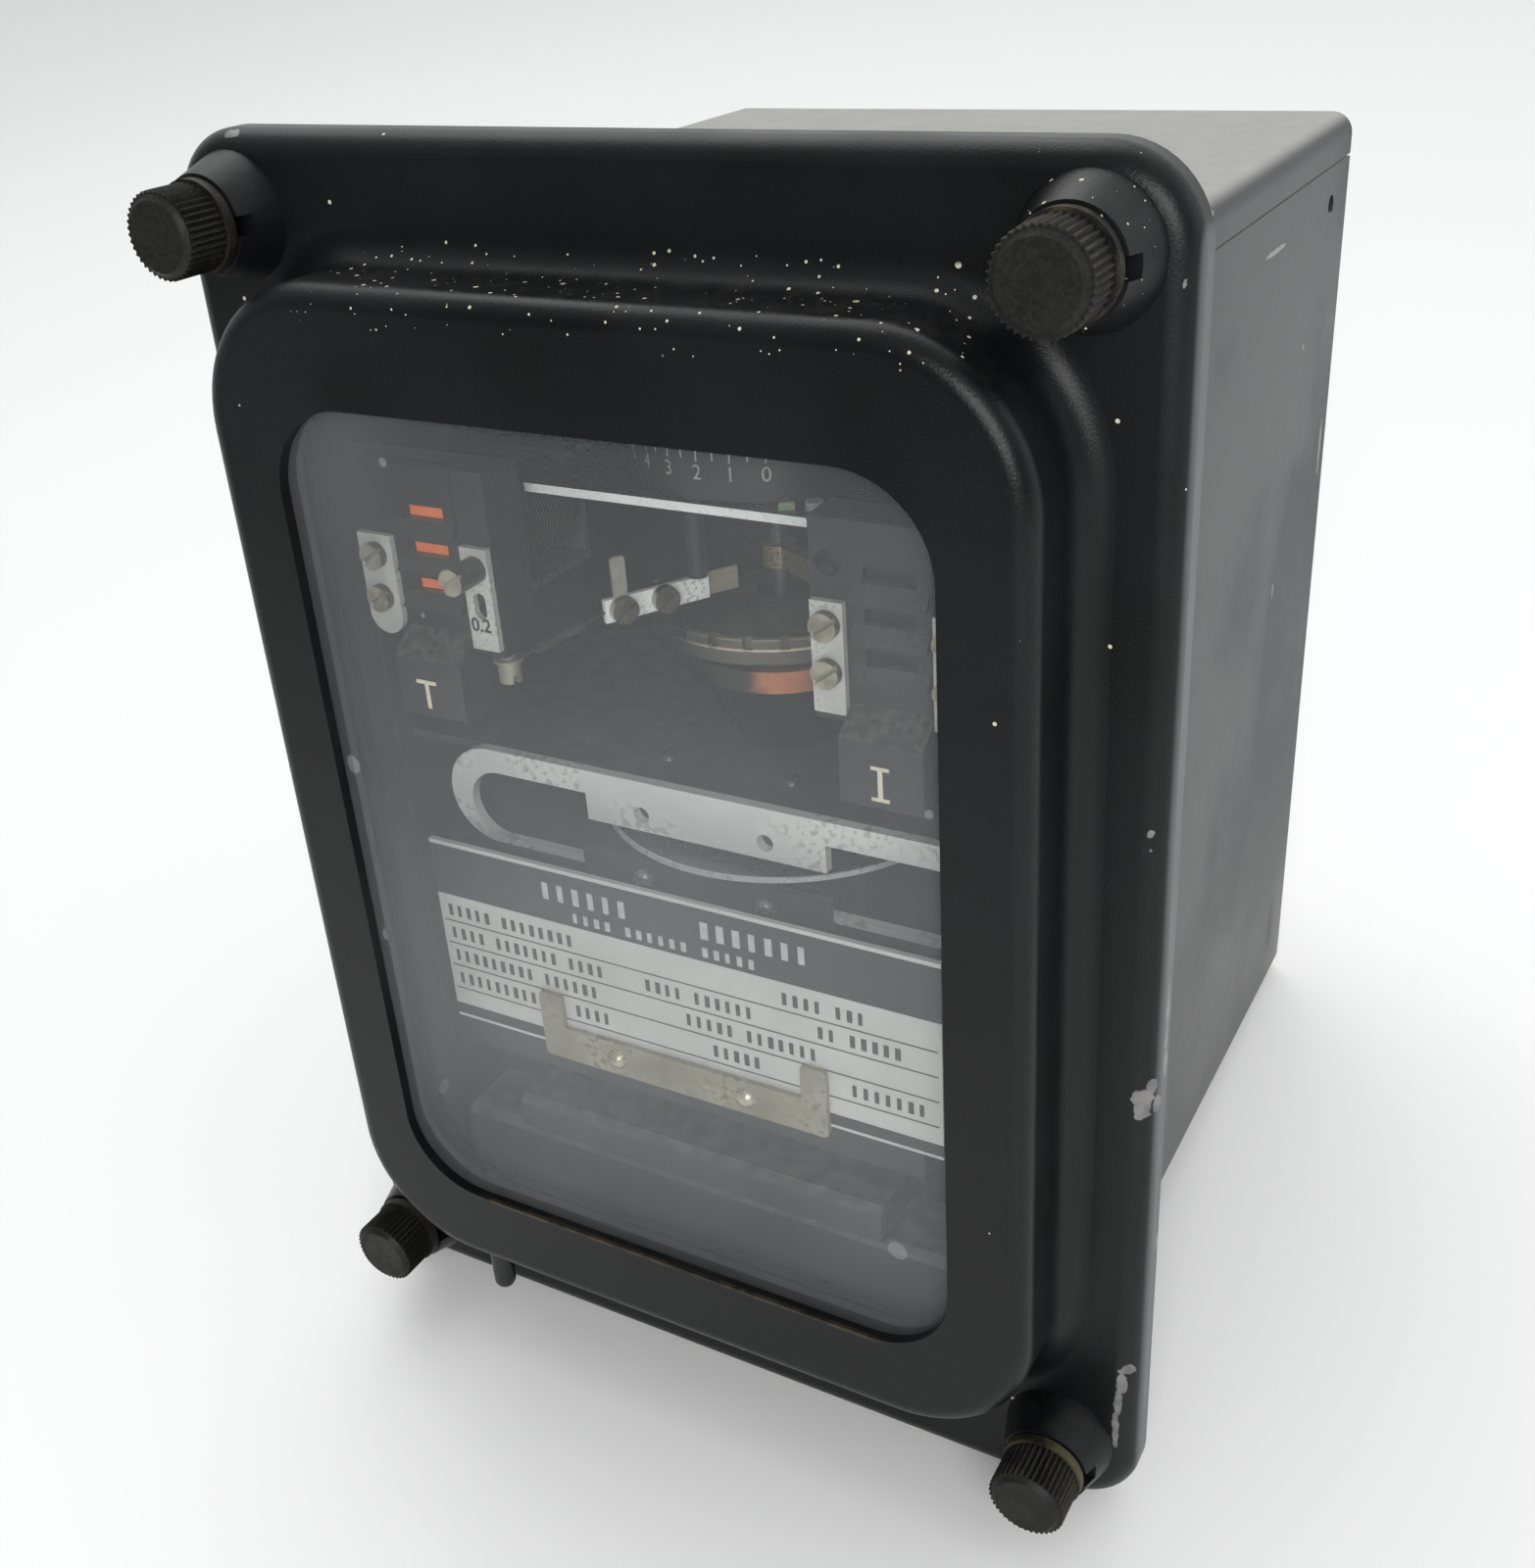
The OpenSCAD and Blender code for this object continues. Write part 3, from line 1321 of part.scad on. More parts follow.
module target_base() { unit_base(-unit_x, false); }
module target_front() { unit_front(-unit_x); }
module target_coil() { unit_coil(-unit_x); }
module target_yoke() { unit_yoke(-unit_x); }
module target_armature() { unit_armature(-unit_x); }
module target_flag() { unit_flag(-unit_x, 0); }
module instant_base() { unit_base(unit_x, true); }
module instant_front() { unit_front(unit_x); }
module instant_coil() { unit_coil(unit_x); }
module instant_yoke() { unit_yoke(unit_x); }
module instant_armature() { unit_armature(unit_x); }
module instant_flag() { unit_flag(unit_x, flag_drop); }

// Strips of the left unit: a wide strip with a round foot and the tap strip with a long spare hole
module target_strips() {
    r = strip_wide / 2;
    color("#c9ccc4") placed() {
        deep(strip_y, unit_y) translate([-unit_x - wide_dx, 0]) difference() {
            union() {
                translate([-r, strip_z0 + r]) square([strip_wide, strip_h - r]);
                translate([0, strip_z0 + r]) circle(r);
            }
            for (z = screw_z)
                translate([0, z]) circle(screw_r + fixed_gap);
        }
        difference() {
            strip(-unit_x + strip_dx);
            slab(2 * tap_hole_r, strip_y - cut, unit_y + cut, screw_z[1], screw_z[1] + tap_hole_rise,
                -unit_x + strip_dx);
            bar_y(tap_hole_r, strip_y - cut, unit_y + cut, -unit_x + strip_dx, screw_z[1] + tap_hole_rise);
        }
    }
}

// Strips of the right unit
module instant_strips() {
    color("#c9ccc4") placed() for (dx = [-strip_dx, strip_far_dx])
        strip(unit_x + dx);
}

mounting_flange();
case_wrap();
case_top();
cover_studs();
flange_gasket();
terminal_block();
terminal_studs();
terminal_nuts();
cradle_frame();
upper_plate();
shelf_plate();
lower_plate();
cable_block();
contact_fingers();
connection_plug();
magnet_frame();
damping_magnets();
keeper_plate();
nameplate_bracket();
nameplate();
nameplate_clip();
dome_screws();
drive_core();
drive_coils();
lower_bearing();
upper_bearing();
spring_barrel();
copper_band();
contact_post();
contact_strip();
contact_leaf();
unit_brackets();
target_base();
target_front();
target_strips();
target_coil();
target_yoke();
instant_base();
instant_front();
instant_strips();
instant_coil();
instant_yoke();
slotted_screws();
induction_disc();
disc_shaft();
moving_contact();
spring_ring();
time_dial();
target_flag();
instant_flag();
target_armature();
instant_armature();
cover_shell();
window_glass();
glass_retainer();
reset_rod();
thumb_nut_top_left();
thumb_nut_top_right();
thumb_nut_bottom_left();
thumb_nut_bottom_right();
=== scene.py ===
"""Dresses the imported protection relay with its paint, metals, mouldings, glass, print and marks, on a pale floor."""
import math
import random

import bmesh
import bpy
from mathutils import Matrix, Vector


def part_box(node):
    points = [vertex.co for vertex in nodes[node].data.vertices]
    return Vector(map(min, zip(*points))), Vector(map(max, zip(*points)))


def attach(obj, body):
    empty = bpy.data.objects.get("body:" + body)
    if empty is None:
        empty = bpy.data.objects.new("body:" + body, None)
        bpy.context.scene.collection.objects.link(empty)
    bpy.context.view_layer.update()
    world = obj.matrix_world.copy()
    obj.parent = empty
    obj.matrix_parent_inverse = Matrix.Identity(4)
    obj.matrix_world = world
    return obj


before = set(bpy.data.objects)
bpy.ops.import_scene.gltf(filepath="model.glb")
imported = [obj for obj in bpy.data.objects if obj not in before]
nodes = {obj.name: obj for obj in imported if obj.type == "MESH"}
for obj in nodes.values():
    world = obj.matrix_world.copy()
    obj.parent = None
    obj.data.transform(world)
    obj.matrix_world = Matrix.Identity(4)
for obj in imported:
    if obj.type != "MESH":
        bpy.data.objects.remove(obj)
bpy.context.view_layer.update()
scene = bpy.context.scene

# The layout is in millimetres from the middle of the cover's lower edge, in the flange's front plane
FLANGE_Y, FOOT_Z = 7, 116
# The axis of disc, dial and ring, and the case's rear lower edge as its height and its distance from the flange
SHAFT = (1.5, 40, 0)
CASE_FOOT, CASE_DEPTH = 19, 146
# Scale of a wave texture whose bands are a metre apart, and a numeral's height as a share of its font's size
WAVE = 0.314
NUMERAL = 0.69


def at(x, y, z):
    """A point of the layout, in the row frame in metres."""
    return Vector((x, y - FLANGE_Y, z - FOOT_Z)) / 1000


def depth(y):
    return (y - FLANGE_Y) / 1000


def level(z):
    return (z - FOOT_Z) / 1000


def tone(code):
    """A linear colour from a screen colour code."""
    parts = [int(code[i:i + 2], 16) / 255 for i in (1, 3, 5)]
    return tuple(c / 12.92 if c <= 0.04045 else ((c + 0.055) / 1.055) ** 2.4 for c in parts) + (1.0,)


# Shader nodes

def join(tree, socket, value):
    """Feeds a socket from another node's output, or sets it."""
    if isinstance(value, bpy.types.NodeSocket):
        tree.links.new(value, socket)
    else:
        socket.default_value = value


def put(tree, kind, sockets=None, **settings):
    made = tree.nodes.new("ShaderNode" + kind)
    for name, value in settings.items():
        setattr(made, name, value)
    for name, value in (sockets or {}).items():
        join(tree, made.inputs[name], value)
    return made


def calc(tree, operation, a, b=0.0, clamp=False):
    return put(tree, "Math", {0: a, 1: b}, operation=operation, use_clamp=clamp).outputs[0]


def aim(tree, operation, a, b):
    return put(tree, "VectorMath", {0: a, 1: b}, operation=operation).outputs[0]


def fade(tree, value, low, high, start=0.0, end=1.0):
    """Runs smoothly from start to end while value goes from low to high."""
    sockets = {"Value": value, "From Min": low, "From Max": high, "To Min": start, "To Max": end}
    return put(tree, "MapRange", sockets, interpolation_type="SMOOTHSTEP").outputs[0]


def mixed(tree, share, a, b):
    made = put(tree, "Mix", data_type="RGBA")
    for i, value in ((0, share), (6, a), (7, b)):
        join(tree, made.inputs[i], value)
    return made.outputs[2]


def most(tree, *masks):
    """The highest of several masks."""
    top = masks[0]
    for mask in masks[1:]:
        top = calc(tree, "MAXIMUM", top, mask)
    return top


def overlap(tree, *masks):
    """Several masks multiplied together."""
    share = masks[0]
    for mask in masks[1:]:
        share = calc(tree, "MULTIPLY", share, mask)
    return share


def span(tree, mask, low, high):
    """Runs smoothly from low to high while a mask goes from 0 to 1."""
    return fade(tree, mask, 0.0, 1.0, low, high)


def band(tree, value, low, low_full, high_full, high):
    """A mask of the values between two soft limits."""
    return overlap(tree, fade(tree, value, low, low_full), fade(tree, value, high_full, high, 1.0, 0.0))


def effect(name, inputs, outputs):
    """An empty shader node group with named sockets: (tree, its inputs, its outputs)."""
    group = bpy.data.node_groups.new(name, "ShaderNodeTree")
    for label, kind, value in inputs:
        socket = group.interface.new_socket(name=label, in_out="INPUT", socket_type="NodeSocket" + kind)
        if value is not None:
            socket.default_value = value
    for label in outputs:
        group.interface.new_socket(name=label, in_out="OUTPUT", socket_type="NodeSocketFloat")
    return group, group.nodes.new("NodeGroupInput").outputs, group.nodes.new("NodeGroupOutput").inputs


def grain_effect():
    """Cloudy unevenness of a surface, broad and fine, from 0 to 1."""
    group, given, result = effect("surface grain", [("Place", "Vector", None), ("Size", "Float", 0.01)],
                                  ("Broad", "Fine"))
    broad_scale = calc(group, "DIVIDE", 1.0, given["Size"])
    fine_scale = calc(group, "MULTIPLY", broad_scale, 9.0)
    for scale, label, detail in ((broad_scale, "Broad", 5.0), (fine_scale, "Fine", 3.0)):
        cloud = put(group, "TexNoise", {"Vector": given["Place"], "Scale": scale, "Detail": detail})
        join(group, result[label], fade(group, cloud.outputs["Fac"], 0.3, 0.7))
    return group


def chip_effect():
    """A ragged patch round a place, where the finish is gone."""
    group, given, result = effect("finish chip", [
        ("Place", "Vector", None), ("Middle", "Vector", None), ("Reach", "Vector", (0.002, 0.002, 0.002)),
        ("Torn", "Float", 0.5), ("Ragged", "Float", 0.6), ("Soft", "Float", 0.12)], ("Mask",))
    away = aim(group, "DIVIDE", aim(group, "SUBTRACT", given["Place"], given["Middle"]), given["Reach"])
    far = put(group, "VectorMath", {0: away}, operation="LENGTH").outputs["Value"]
    torn = calc(group, "MULTIPLY", calc(group, "SUBTRACT", given["Torn"], 0.5), given["Ragged"])
    edge = calc(group, "ADD", far, calc(group, "MULTIPLY", torn, 2.0))
    join(group, result["Mask"], fade(group, edge, calc(group, "SUBTRACT", 1.0, given["Soft"]), 1.0, 1.0, 0.0))
    return group


def fleck_effect():
    """Small round flecks of several sizes, as from splashed paint."""
    group, given, result = effect("paint flecks", [("Place", "Vector", None), ("Size", "Float", 0.0025),
                                                   ("Share", "Float", 0.3)], ("Mask",))
    scale = calc(group, "DIVIDE", 1.0, given["Size"])
    cell = put(group, "TexVoronoi", {"Vector": given["Place"], "Scale": scale})
    chance = put(group, "SeparateColor", {"Color": cell.outputs["Color"]})
    chosen = calc(group, "LESS_THAN", chance.outputs[0], given["Share"])
    size = calc(group, "ADD", calc(group, "MULTIPLY", calc(group, "POWER", chance.outputs[1], 3.0), 0.16), 0.06)
    inside = calc(group, "LESS_THAN", cell.outputs["Distance"], size)
    join(group, result["Mask"], calc(group, "MULTIPLY", chosen, inside))
    return group


def scratch_effect():
    """Thin wavering lines along the direction in which Stretch is small."""
    group, given, result = effect("fine scratches", [
        ("Place", "Vector", None), ("Stretch", "Vector", (60.0, 60.0, 900.0)), ("Width", "Float", 0.01),
        ("Share", "Float", 0.5)], ("Mask",))
    drawn = aim(group, "MULTIPLY", given["Place"], given["Stretch"])
    lines = put(group, "TexNoise", {"Vector": drawn, "Scale": 1.0, "Detail": 2.0})
    near = calc(group, "ABSOLUTE", calc(group, "SUBTRACT", lines.outputs["Fac"], 0.5))
    thin = fade(group, near, 0.0, given["Width"], 1.0, 0.0)
    cloud = put(group, "TexNoise", {"Vector": given["Place"], "Scale": 45.0, "Detail": 2.0})
    some = fade(group, cloud.outputs["Fac"], calc(group, "SUBTRACT", 1.0, given["Share"]), 1.0)
    join(group, result["Mask"], calc(group, "MULTIPLY", thin, some))
    return group


GRAIN, CHIP, FLECKS, SCRATCHES = grain_effect(), chip_effect(), fleck_effect(), scratch_effect()


class Finish:
    """One procedural finish: a Principled shader and the nodes that feed it."""

    def __init__(self, name, **plain):
        self.material = bpy.data.materials.new(name)
        self.material.use_nodes = True
        self.tree = self.material.node_tree
        self.shader = self.tree.nodes["Principled BSDF"]
        self.place = put(self.tree, "TexCoord").outputs["Object"]
        self.torn = None
        for socket, value in plain.items():
            self.shader.inputs[socket.replace("_", " ")].default_value = value

    def use(self, group, **sockets):
        made = self.tree.nodes.new("ShaderNodeGroup")
        made.node_tree = group
        join(self.tree, made.inputs["Place"], self.place)
        for name, value in sockets.items():
            join(self.tree, made.inputs[name], value)
        return made.outputs

    def feed(self, **sockets):
        for name, value in sockets.items():
            join(self.tree, self.shader.inputs[name.replace("_", " ")], value)

    def bump(self, height, depth, strength=1.0):
        made = put(self.tree, "Bump", {"Height": height, "Distance": depth, "Strength": strength})
        self.feed(Normal=made.outputs["Normal"])

    def part_of_place(self, axis):
        return put(self.tree, "SeparateXYZ", {0: self.place}).outputs[axis]

    def facing(self, axis):
        """How far the surface faces along an axis, from -1 to 1."""
        normal = put(self.tree, "NewGeometry").outputs["Normal"]
        return put(self.tree, "SeparateXYZ", {0: normal}).outputs[axis]

    def facing_up(self, low, high):
        return fade(self.tree, self.facing(2), low, high)

    def facing_front(self, full, none):
        return fade(self.tree, self.facing(1), full, none, 1.0, 0.0)

    def off_axis(self, middle, keep):
        """Distance from an axis through a layout point; keep is 1 for the two directions across the axis."""
        away = aim(self.tree, "SUBTRACT", self.place, at(*middle))
        return put(self.tree, "VectorMath", {0: aim(self.tree, "MULTIPLY", away, keep)},
                   operation="LENGTH").outputs["Value"]

    def patch(self, middle, reach, ragged=0.6, soft=0.12):
        """A mask of one ragged patch; all patches of a finish share their tearing."""
        if not self.torn:
            cloud = put(self.tree, "TexNoise", {"Vector": self.place, "Scale": 700.0, "Detail": 3.0})
            self.torn = cloud.outputs["Fac"]
        return self.use(CHIP, Middle=at(*middle), Reach=reach, Torn=self.torn, Ragged=ragged, Soft=soft)["Mask"]

    def chips(self, patches, ragged=0.6):
        """A mask of ragged patches, each (layout point, reach in mm)."""
        return most(self.tree, *[self.patch(middle, [r / 1000 for r in reach], ragged) for middle, reach in patches])


# Finishes

COVER_CHIPS = [
    ((82.0, 0.9, 92.2), (1.6, 2.0, 3.2)), ((83.3, 1.4, 95.2), (0.9, 1.6, 1.3)), ((83.9, 3.0, 91.0), (0.8, 1.2, 1.6)),
    ((82.3, 0.4, 35.3), (1.8, 1.2, 1.3)), ((81.2, 0.4, 32.0), (1.0, 0.9, 2.8)), ((80.7, 0.4, 27.4), (0.75, 0.9, 3.8)),
    ((80.4, 0.4, 22.4), (0.65, 0.9, 3.8)), ((80.5, 0.4, 18.4), (0.6, 0.9, 2.4)),
    ((81.4, 0.6, 139.9), (0.6, 0.7, 0.8)), ((81.6, 0.8, 137.2), (0.4, 0.6, 0.6)),
    ((82.2, 2.0, 215.8), (0.5, 1.6, 1.0)), ((84, 5.4, 105.5), (1.0, 0.8, 6.4)), ((84, 5.6, 97.0), (1.0, 0.9, 2.6)),
    ((84, 6.2, 60.0), (0.9, 0.6, 2.2)), ((-83.6, 4.5, 160.0), (1.0, 1.1, 2.4)),
    ((-70, 2.0, 231.2), (1.8, 1.1, 0.8)), ((30, 4.0, 0.2), (3.0, 1.2, 0.8)),
]
COVER_SPOTS = [
    ((68.1, 0, 190.3), (0.7, 0.7, 0.8)), ((65.5, -4, 174.1), (0.5, 3, 0.6)), ((64.8, -12, 161.6), (0.5, 6, 0.5)),
]


def cover_paint():
    """Satin black stove paint of the cover: dust, a painted reflection of the floor on the flange's side faces, worn
    paint and a painted highlight along the window's lower inner edge, flecks and bare chips.
    """
    paint = Finish("cover paint", IOR=1.5, Specular_IOR_Level=0.25)
    tree = paint.tree
    cloud = paint.use(GRAIN, Size=0.035)
    skin = paint.use(GRAIN, Size=0.0035)
    x, y, z = (paint.part_of_place(axis) for axis in range(3))
    side = calc(tree, "ABSOLUTE", x)
    black = mixed(tree, cloud["Broad"], tone("#0b0c0d"), tone("#121315"))
    dusty = overlap(tree, paint.facing_up(0.35, 1.0), fade(tree, cloud["Fine"], 0.4, 1.0, 0.0, 0.06))
    colour = mixed(tree, dusty, black, tone("#55524c"))
    # Painted reflection: the flange's side faces are lightened grey to stand for the pale floor they reflect.
    wear_and_painted_sheen = overlap(tree, fade(tree, side, 0.0834, 0.0839), span(tree, cloud["Broad"], 0.6, 0.9))
    colour = mixed(tree, wear_and_painted_sheen, colour, tone("#56575a"))
    # Brownish line along the window's lower inner edge: worn paint, partly a painted highlight on the rounded edge.
    sill_wear_and_painted_highlight = overlap(tree, band(tree, z, level(39.6), level(40.1), level(40.8), level(41.2)),
                   fade(tree, side, 0.040, 0.046, 1.0, 0.0),
                   fade(tree, y, depth(-15.5), depth(-15.1), 1.0, 0.0),
                   fade(tree, skin["Broad"], 0.2, 0.8, 0.15, 0.7))
    colour = mixed(tree, sill_wear_and_painted_highlight, colour, tone("#443a2c"))
    cove = overlap(tree, band(tree, z, level(204), level(210.5), level(214.5), level(220)),
                   band(tree, x, -0.054, -0.040, 0.056, 0.064))
    corner = paint.patch((71, -4, 222), (0.014, 0.012, 0.015), soft=0.6)
    splashed = fade(tree, most(tree, cove, corner), 0.4, 0.6)
    spots = most(tree, overlap(tree, paint.use(FLECKS, Size=0.0014, Share=0.55)["Mask"], splashed),
                 overlap(tree, paint.use(FLECKS, Size=0.0024, Share=0.50)["Mask"], splashed),
                 paint.use(FLECKS, Size=0.0022, Share=0.008)["Mask"], paint.chips(COVER_SPOTS, 0.3))
    colour = mixed(tree, spots, colour, tone("#cbc4b0"))
    bare = paint.chips(COVER_CHIPS)
    steel = mixed(tree, skin["Broad"], tone("#616264"), tone("#858480"))
    dull = overlap(tree, most(tree, dusty, spots), 0.35)
    paint.feed(Base_Color=mixed(tree, bare, colour, steel), Metallic=overlap(tree, bare, 0.35),
               Roughness=calc(tree, "ADD", span(tree, cloud["Broad"], 0.29, 0.39), dull, clamp=True))
    paint.bump(skin["Fine"], 0.00003, 0.5)
    return paint.material


CASE_CHIPS = [
    ((68.5, 101, 199), (1, 6.5, 0.5)), ((68.5, 127, 176), (1, 0.6, 0.6)), ((68.5, 118, 130), (1, 0.5, 1.4)),
    ((68.3, 60, 212.8), (0.8, 5.0, 0.7)), ((68.3, 149, 150), (0.9, 0.9, 6.0)), ((67.8, 152.6, 24), (2.4, 1.2, 4.0)),
    ((66.5, 151, 20), (2.2, 3.0, 1.6)), ((-68.3, 90, 213), (0.8, 7.0, 0.6)), ((-68.4, 40, 60), (0.8, 1.0, 2.6)),
]


def case_paint():
    """Dull grey-black paint of the sheet case, dusty on top, scuffed on the sides."""
    paint = Finish("case paint", IOR=1.5, Specular_IOR_Level=0.4)
    tree = paint.tree
    cloud = paint.use(GRAIN, Size=0.05)
    skin = paint.use(GRAIN, Size=0.003)
    base = mixed(tree, cloud["Broad"], tone("#26272a"), tone("#333437"))
    dusty = overlap(tree, paint.facing_up(0.5, 1.0), fade(tree, cloud["Fine"], 0.1, 1.0, 0.86, 0.92))
    low_dust = fade(tree, paint.part_of_place(2), level(21), level(96), 0.14, 0.0)
    colour = mixed(tree, most(tree, dusty, low_dust), base, tone("#a9a8a4"))
    scuffs = paint.use(SCRATCHES, Stretch=(70.0, 60.0, 700.0), Width=0.006, Share=0.55)["Mask"]
    colour = mixed(tree, overlap(tree, scuffs, 0.5), colour, tone("#5b5b5b"))
    # Painted shade: a dark patch on the case side by its dented rear lower corner, standing for the dent's shade.
    painted_dent_shade = paint.patch((68.5, 142, 37), (0.002, 0.004, 0.010), soft=0.9)
    colour = mixed(tree, overlap(tree, painted_dent_shade, 0.8), colour, tone("#101113"))
    bare = paint.chips(CASE_CHIPS)
    spots = paint.use(FLECKS, Size=0.011, Share=0.05)["Mask"]
    colour = mixed(tree, most(tree, overlap(tree, bare, 0.8), spots), colour, tone("#9a9890"))
    rough = calc(tree, "ADD", span(tree, cloud["Broad"], 0.36, 0.50), overlap(tree, dusty, 0.4), clamp=True)
    paint.feed(Base_Color=colour, Roughness=rough, Metallic=overlap(tree, bare, 0.3))
    paint.bump(skin["Fine"], 0.00003, 0.4)
    return paint.material


def nut_finish(name, x, z, worn):
    """Blackened brass of a thumb nut; worn is how far the knurl has rubbed through."""
    nut = Finish(name, Specular_IOR_Level=0.25)
    tree = nut.tree
    cloud = nut.use(GRAIN, Size=0.006)
    ridge = fade(tree, nut.off_axis((x, 0, z), (1.0, 0.0, 1.0)), 0.00655, 0.0069)
    wear_and_painted_sheen = overlap(tree, ridge, fade(tree, cloud["Broad"], 0.1, 0.9), worn)
    black = mixed(tree, cloud["Fine"], tone("#101010"), tone("#1d1c1a"))
    nut.feed(Base_Color=mixed(tree, wear_and_painted_sheen, black, tone("#635d45")), Metallic=overlap(tree, wear_and_painted_sheen, 0.7),
             Roughness=span(tree, cloud["Broad"], 0.42, 0.6))
    nut.bump(cloud["Fine"], 0.00008, 0.5)
    return nut.material


def window_finish():
    """Old glass with a grey film, partly real haze and partly a painted reflection of the pale floor, milkiest at mid
    height and on the left, specks and a chip at its left edge.
    """
    glass = Finish("window glass", Roughness=0.08, IOR=1.52, Specular_IOR_Level=0.6)
    tree = glass.tree
    cloud = put(tree, "TexNoise", {"Vector": glass.place, "Scale": 17.0, "Detail": 2.0}).outputs["Fac"]
    height = glass.part_of_place(2)
    # The grey film is partly real haze and partly a painted reflection of the pale floor, which the glass does not
    # reflect strongly enough.
    haze_and_painted_reflection = calc(tree, "ADD", fade(tree, height, level(96), level(191), 0.165, 0.105),
                fade(tree, height, level(31), level(81), -0.05, 0.0))
    haze_and_painted_reflection = calc(tree, "ADD", haze_and_painted_reflection, fade(tree, cloud, 0.3, 0.7, -0.01, 0.025))
    haze_and_painted_reflection = overlap(tree, haze_and_painted_reflection, fade(tree, glass.part_of_place(0), 0.0, 0.05, 1.0, 0.80))
    chip = glass.chips([((-54.2, -14, 131.2), (1.6, 2.0, 2.0)), ((-54.8, -14, 96), (0.7, 1.5, 1.4))], 0.4)
    spots = glass.use(FLECKS, Size=0.009, Share=0.04)["Mask"]
    alpha = calc(tree, "MAXIMUM", haze_and_painted_reflection, overlap(tree, most(tree, chip, spots), 0.40), clamp=True)
    glass.feed(Base_Color=mixed(tree, cloud, tone("#9ba0a2"), tone("#abafb0")), Alpha=alpha)
    glass.bump(overlap(tree, chip, -1.0), 0.0004, 0.8)
    return glass.material


def moulding_finish(name, dark, light, rough, size=0.012):
    """Black moulded phenolic with faint flow marks and a film of dust on what faces up."""
    made = Finish(name, IOR=1.5)
    tree = made.tree
    cloud = made.use(GRAIN, Size=size)
    skin = made.use(GRAIN, Size=0.002)
    dusty = overlap(tree, made.facing_up(0.2, 1.0), span(tree, cloud["Fine"], 0.10, 0.34))
    colour = mixed(tree, dusty, mixed(tree, cloud["Broad"], tone(dark), tone(light)), tone("#8a8780"))
    made.feed(Base_Color=colour, Roughness=span(tree, cloud["Fine"], rough - 0.06, rough + 0.08))
    made.bump(skin["Broad"], 0.00004, 0.15)
    return made.material


def metal_finish(name, dark, light, rough, metallic, stretch=(1.0, 1.0, 1.0), stain=None, size=0.006):
    """Bare or plated metal with drawing lines along one direction and stains."""
    made = Finish(name, Metallic=metallic)
    tree = made.tree
    cloud = made.use(GRAIN, Size=size)
    drawn = put(tree, "TexNoise", {"Vector": aim(tree, "MULTIPLY", made.place, stretch), "Scale": 1100.0,
                                   "Detail": 1.0}).outputs["Fac"]
    shade = calc(tree, "ADD", overlap(tree, cloud["Broad"], 0.7), overlap(tree, drawn, 0.3))
    colour = mixed(tree, shade, tone(dark), tone(light))
    if stain:
        share = overlap(tree, fade(tree, cloud["Fine"], 0.45, 0.95), fade(tree, cloud["Broad"], 0.4, 0.9), 0.7)
        colour = mixed(tree, share, colour, tone(stain))
    made.feed(Base_Color=colour, Roughness=span(tree, cloud["Fine"], rough - 0.06, rough + 0.07))
    made.bump(drawn, 0.00002, 0.15)
    return made.material


def plate_edge_finish():
    """Upper plate, with a painted highlight along its front edge and painted shade on its level faces."""
    made = Finish("edge of the upper plate")
    tree = made.tree
    cloud = made.use(GRAIN, Size=0.01)
    tongue = fade(tree, calc(tree, "ABSOLUTE", made.part_of_place(0)), 0.0326, 0.0327, 1.0, 0.0)
    # Painted highlight: the faces towards the front get a near-white colour, and the plate's other faces are painted
    # dark as shade.
    front = overlap(tree, made.facing_front(-0.9, -0.4), tongue)
    dull = mixed(tree, cloud["Broad"], tone("#1d1e20"), tone("#2a2b2d"))
    bright = mixed(tree, cloud["Broad"], tone("#e6efea"), tone("#f8fbf8"))
    made.feed(Base_Color=mixed(tree, front, dull, bright), Metallic=overlap(tree, front, 0.1),
              Roughness=span(tree, cloud["Fine"], 0.26, 0.40))
    made.bump(cloud["Fine"], 0.00003, 0.2)
    return made.material


def ring_finish():
    """Brown bronze of the spring ring and its skirt, with painted highlights on the right part of the ring's outer
    edges and painted shade over its left part.
    """
    low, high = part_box("spring_ring")
    made = Finish("ring bronze")
    tree = made.tree
    cloud = made.use(GRAIN, Size=0.005)
    z = made.part_of_place(2)
    lower_edge = band(tree, z, low.z - 0.0003, low.z - 0.0001, low.z + 0.0003, low.z + 0.0006)
    upper_edge = fade(tree, z, high.z - 0.0004, high.z - 0.0002, 0.0, 0.3)
    right = fade(tree, made.part_of_place(0), -0.008, 0.008)
    outer = fade(tree, made.off_axis(SHAFT, (1.0, 1.0, 0.0)), 0.0228, 0.0235)
    # Painted highlight: thin pale lines on the ring's outer upper and lower edges, on its right part only.
    wear_and_painted_sheen = overlap(tree, most(tree, lower_edge, upper_edge), right, outer)
    # Painted shade: the left part of the ring goes near black.
    brown_with_painted_shade = mixed(tree, right, tone("#191715"), mixed(tree, cloud["Broad"], tone("#47423a"), tone("#5a5449")))
    made.feed(Base_Color=mixed(tree, wear_and_painted_sheen, brown_with_painted_shade, tone("#c9bd98")), Metallic=overlap(tree, wear_and_painted_sheen, 0.4),
              Roughness=span(tree, cloud["Fine"], 0.36, 0.52))
    made.bump(cloud["Fine"], 0.00004, 0.2)
    return made.material


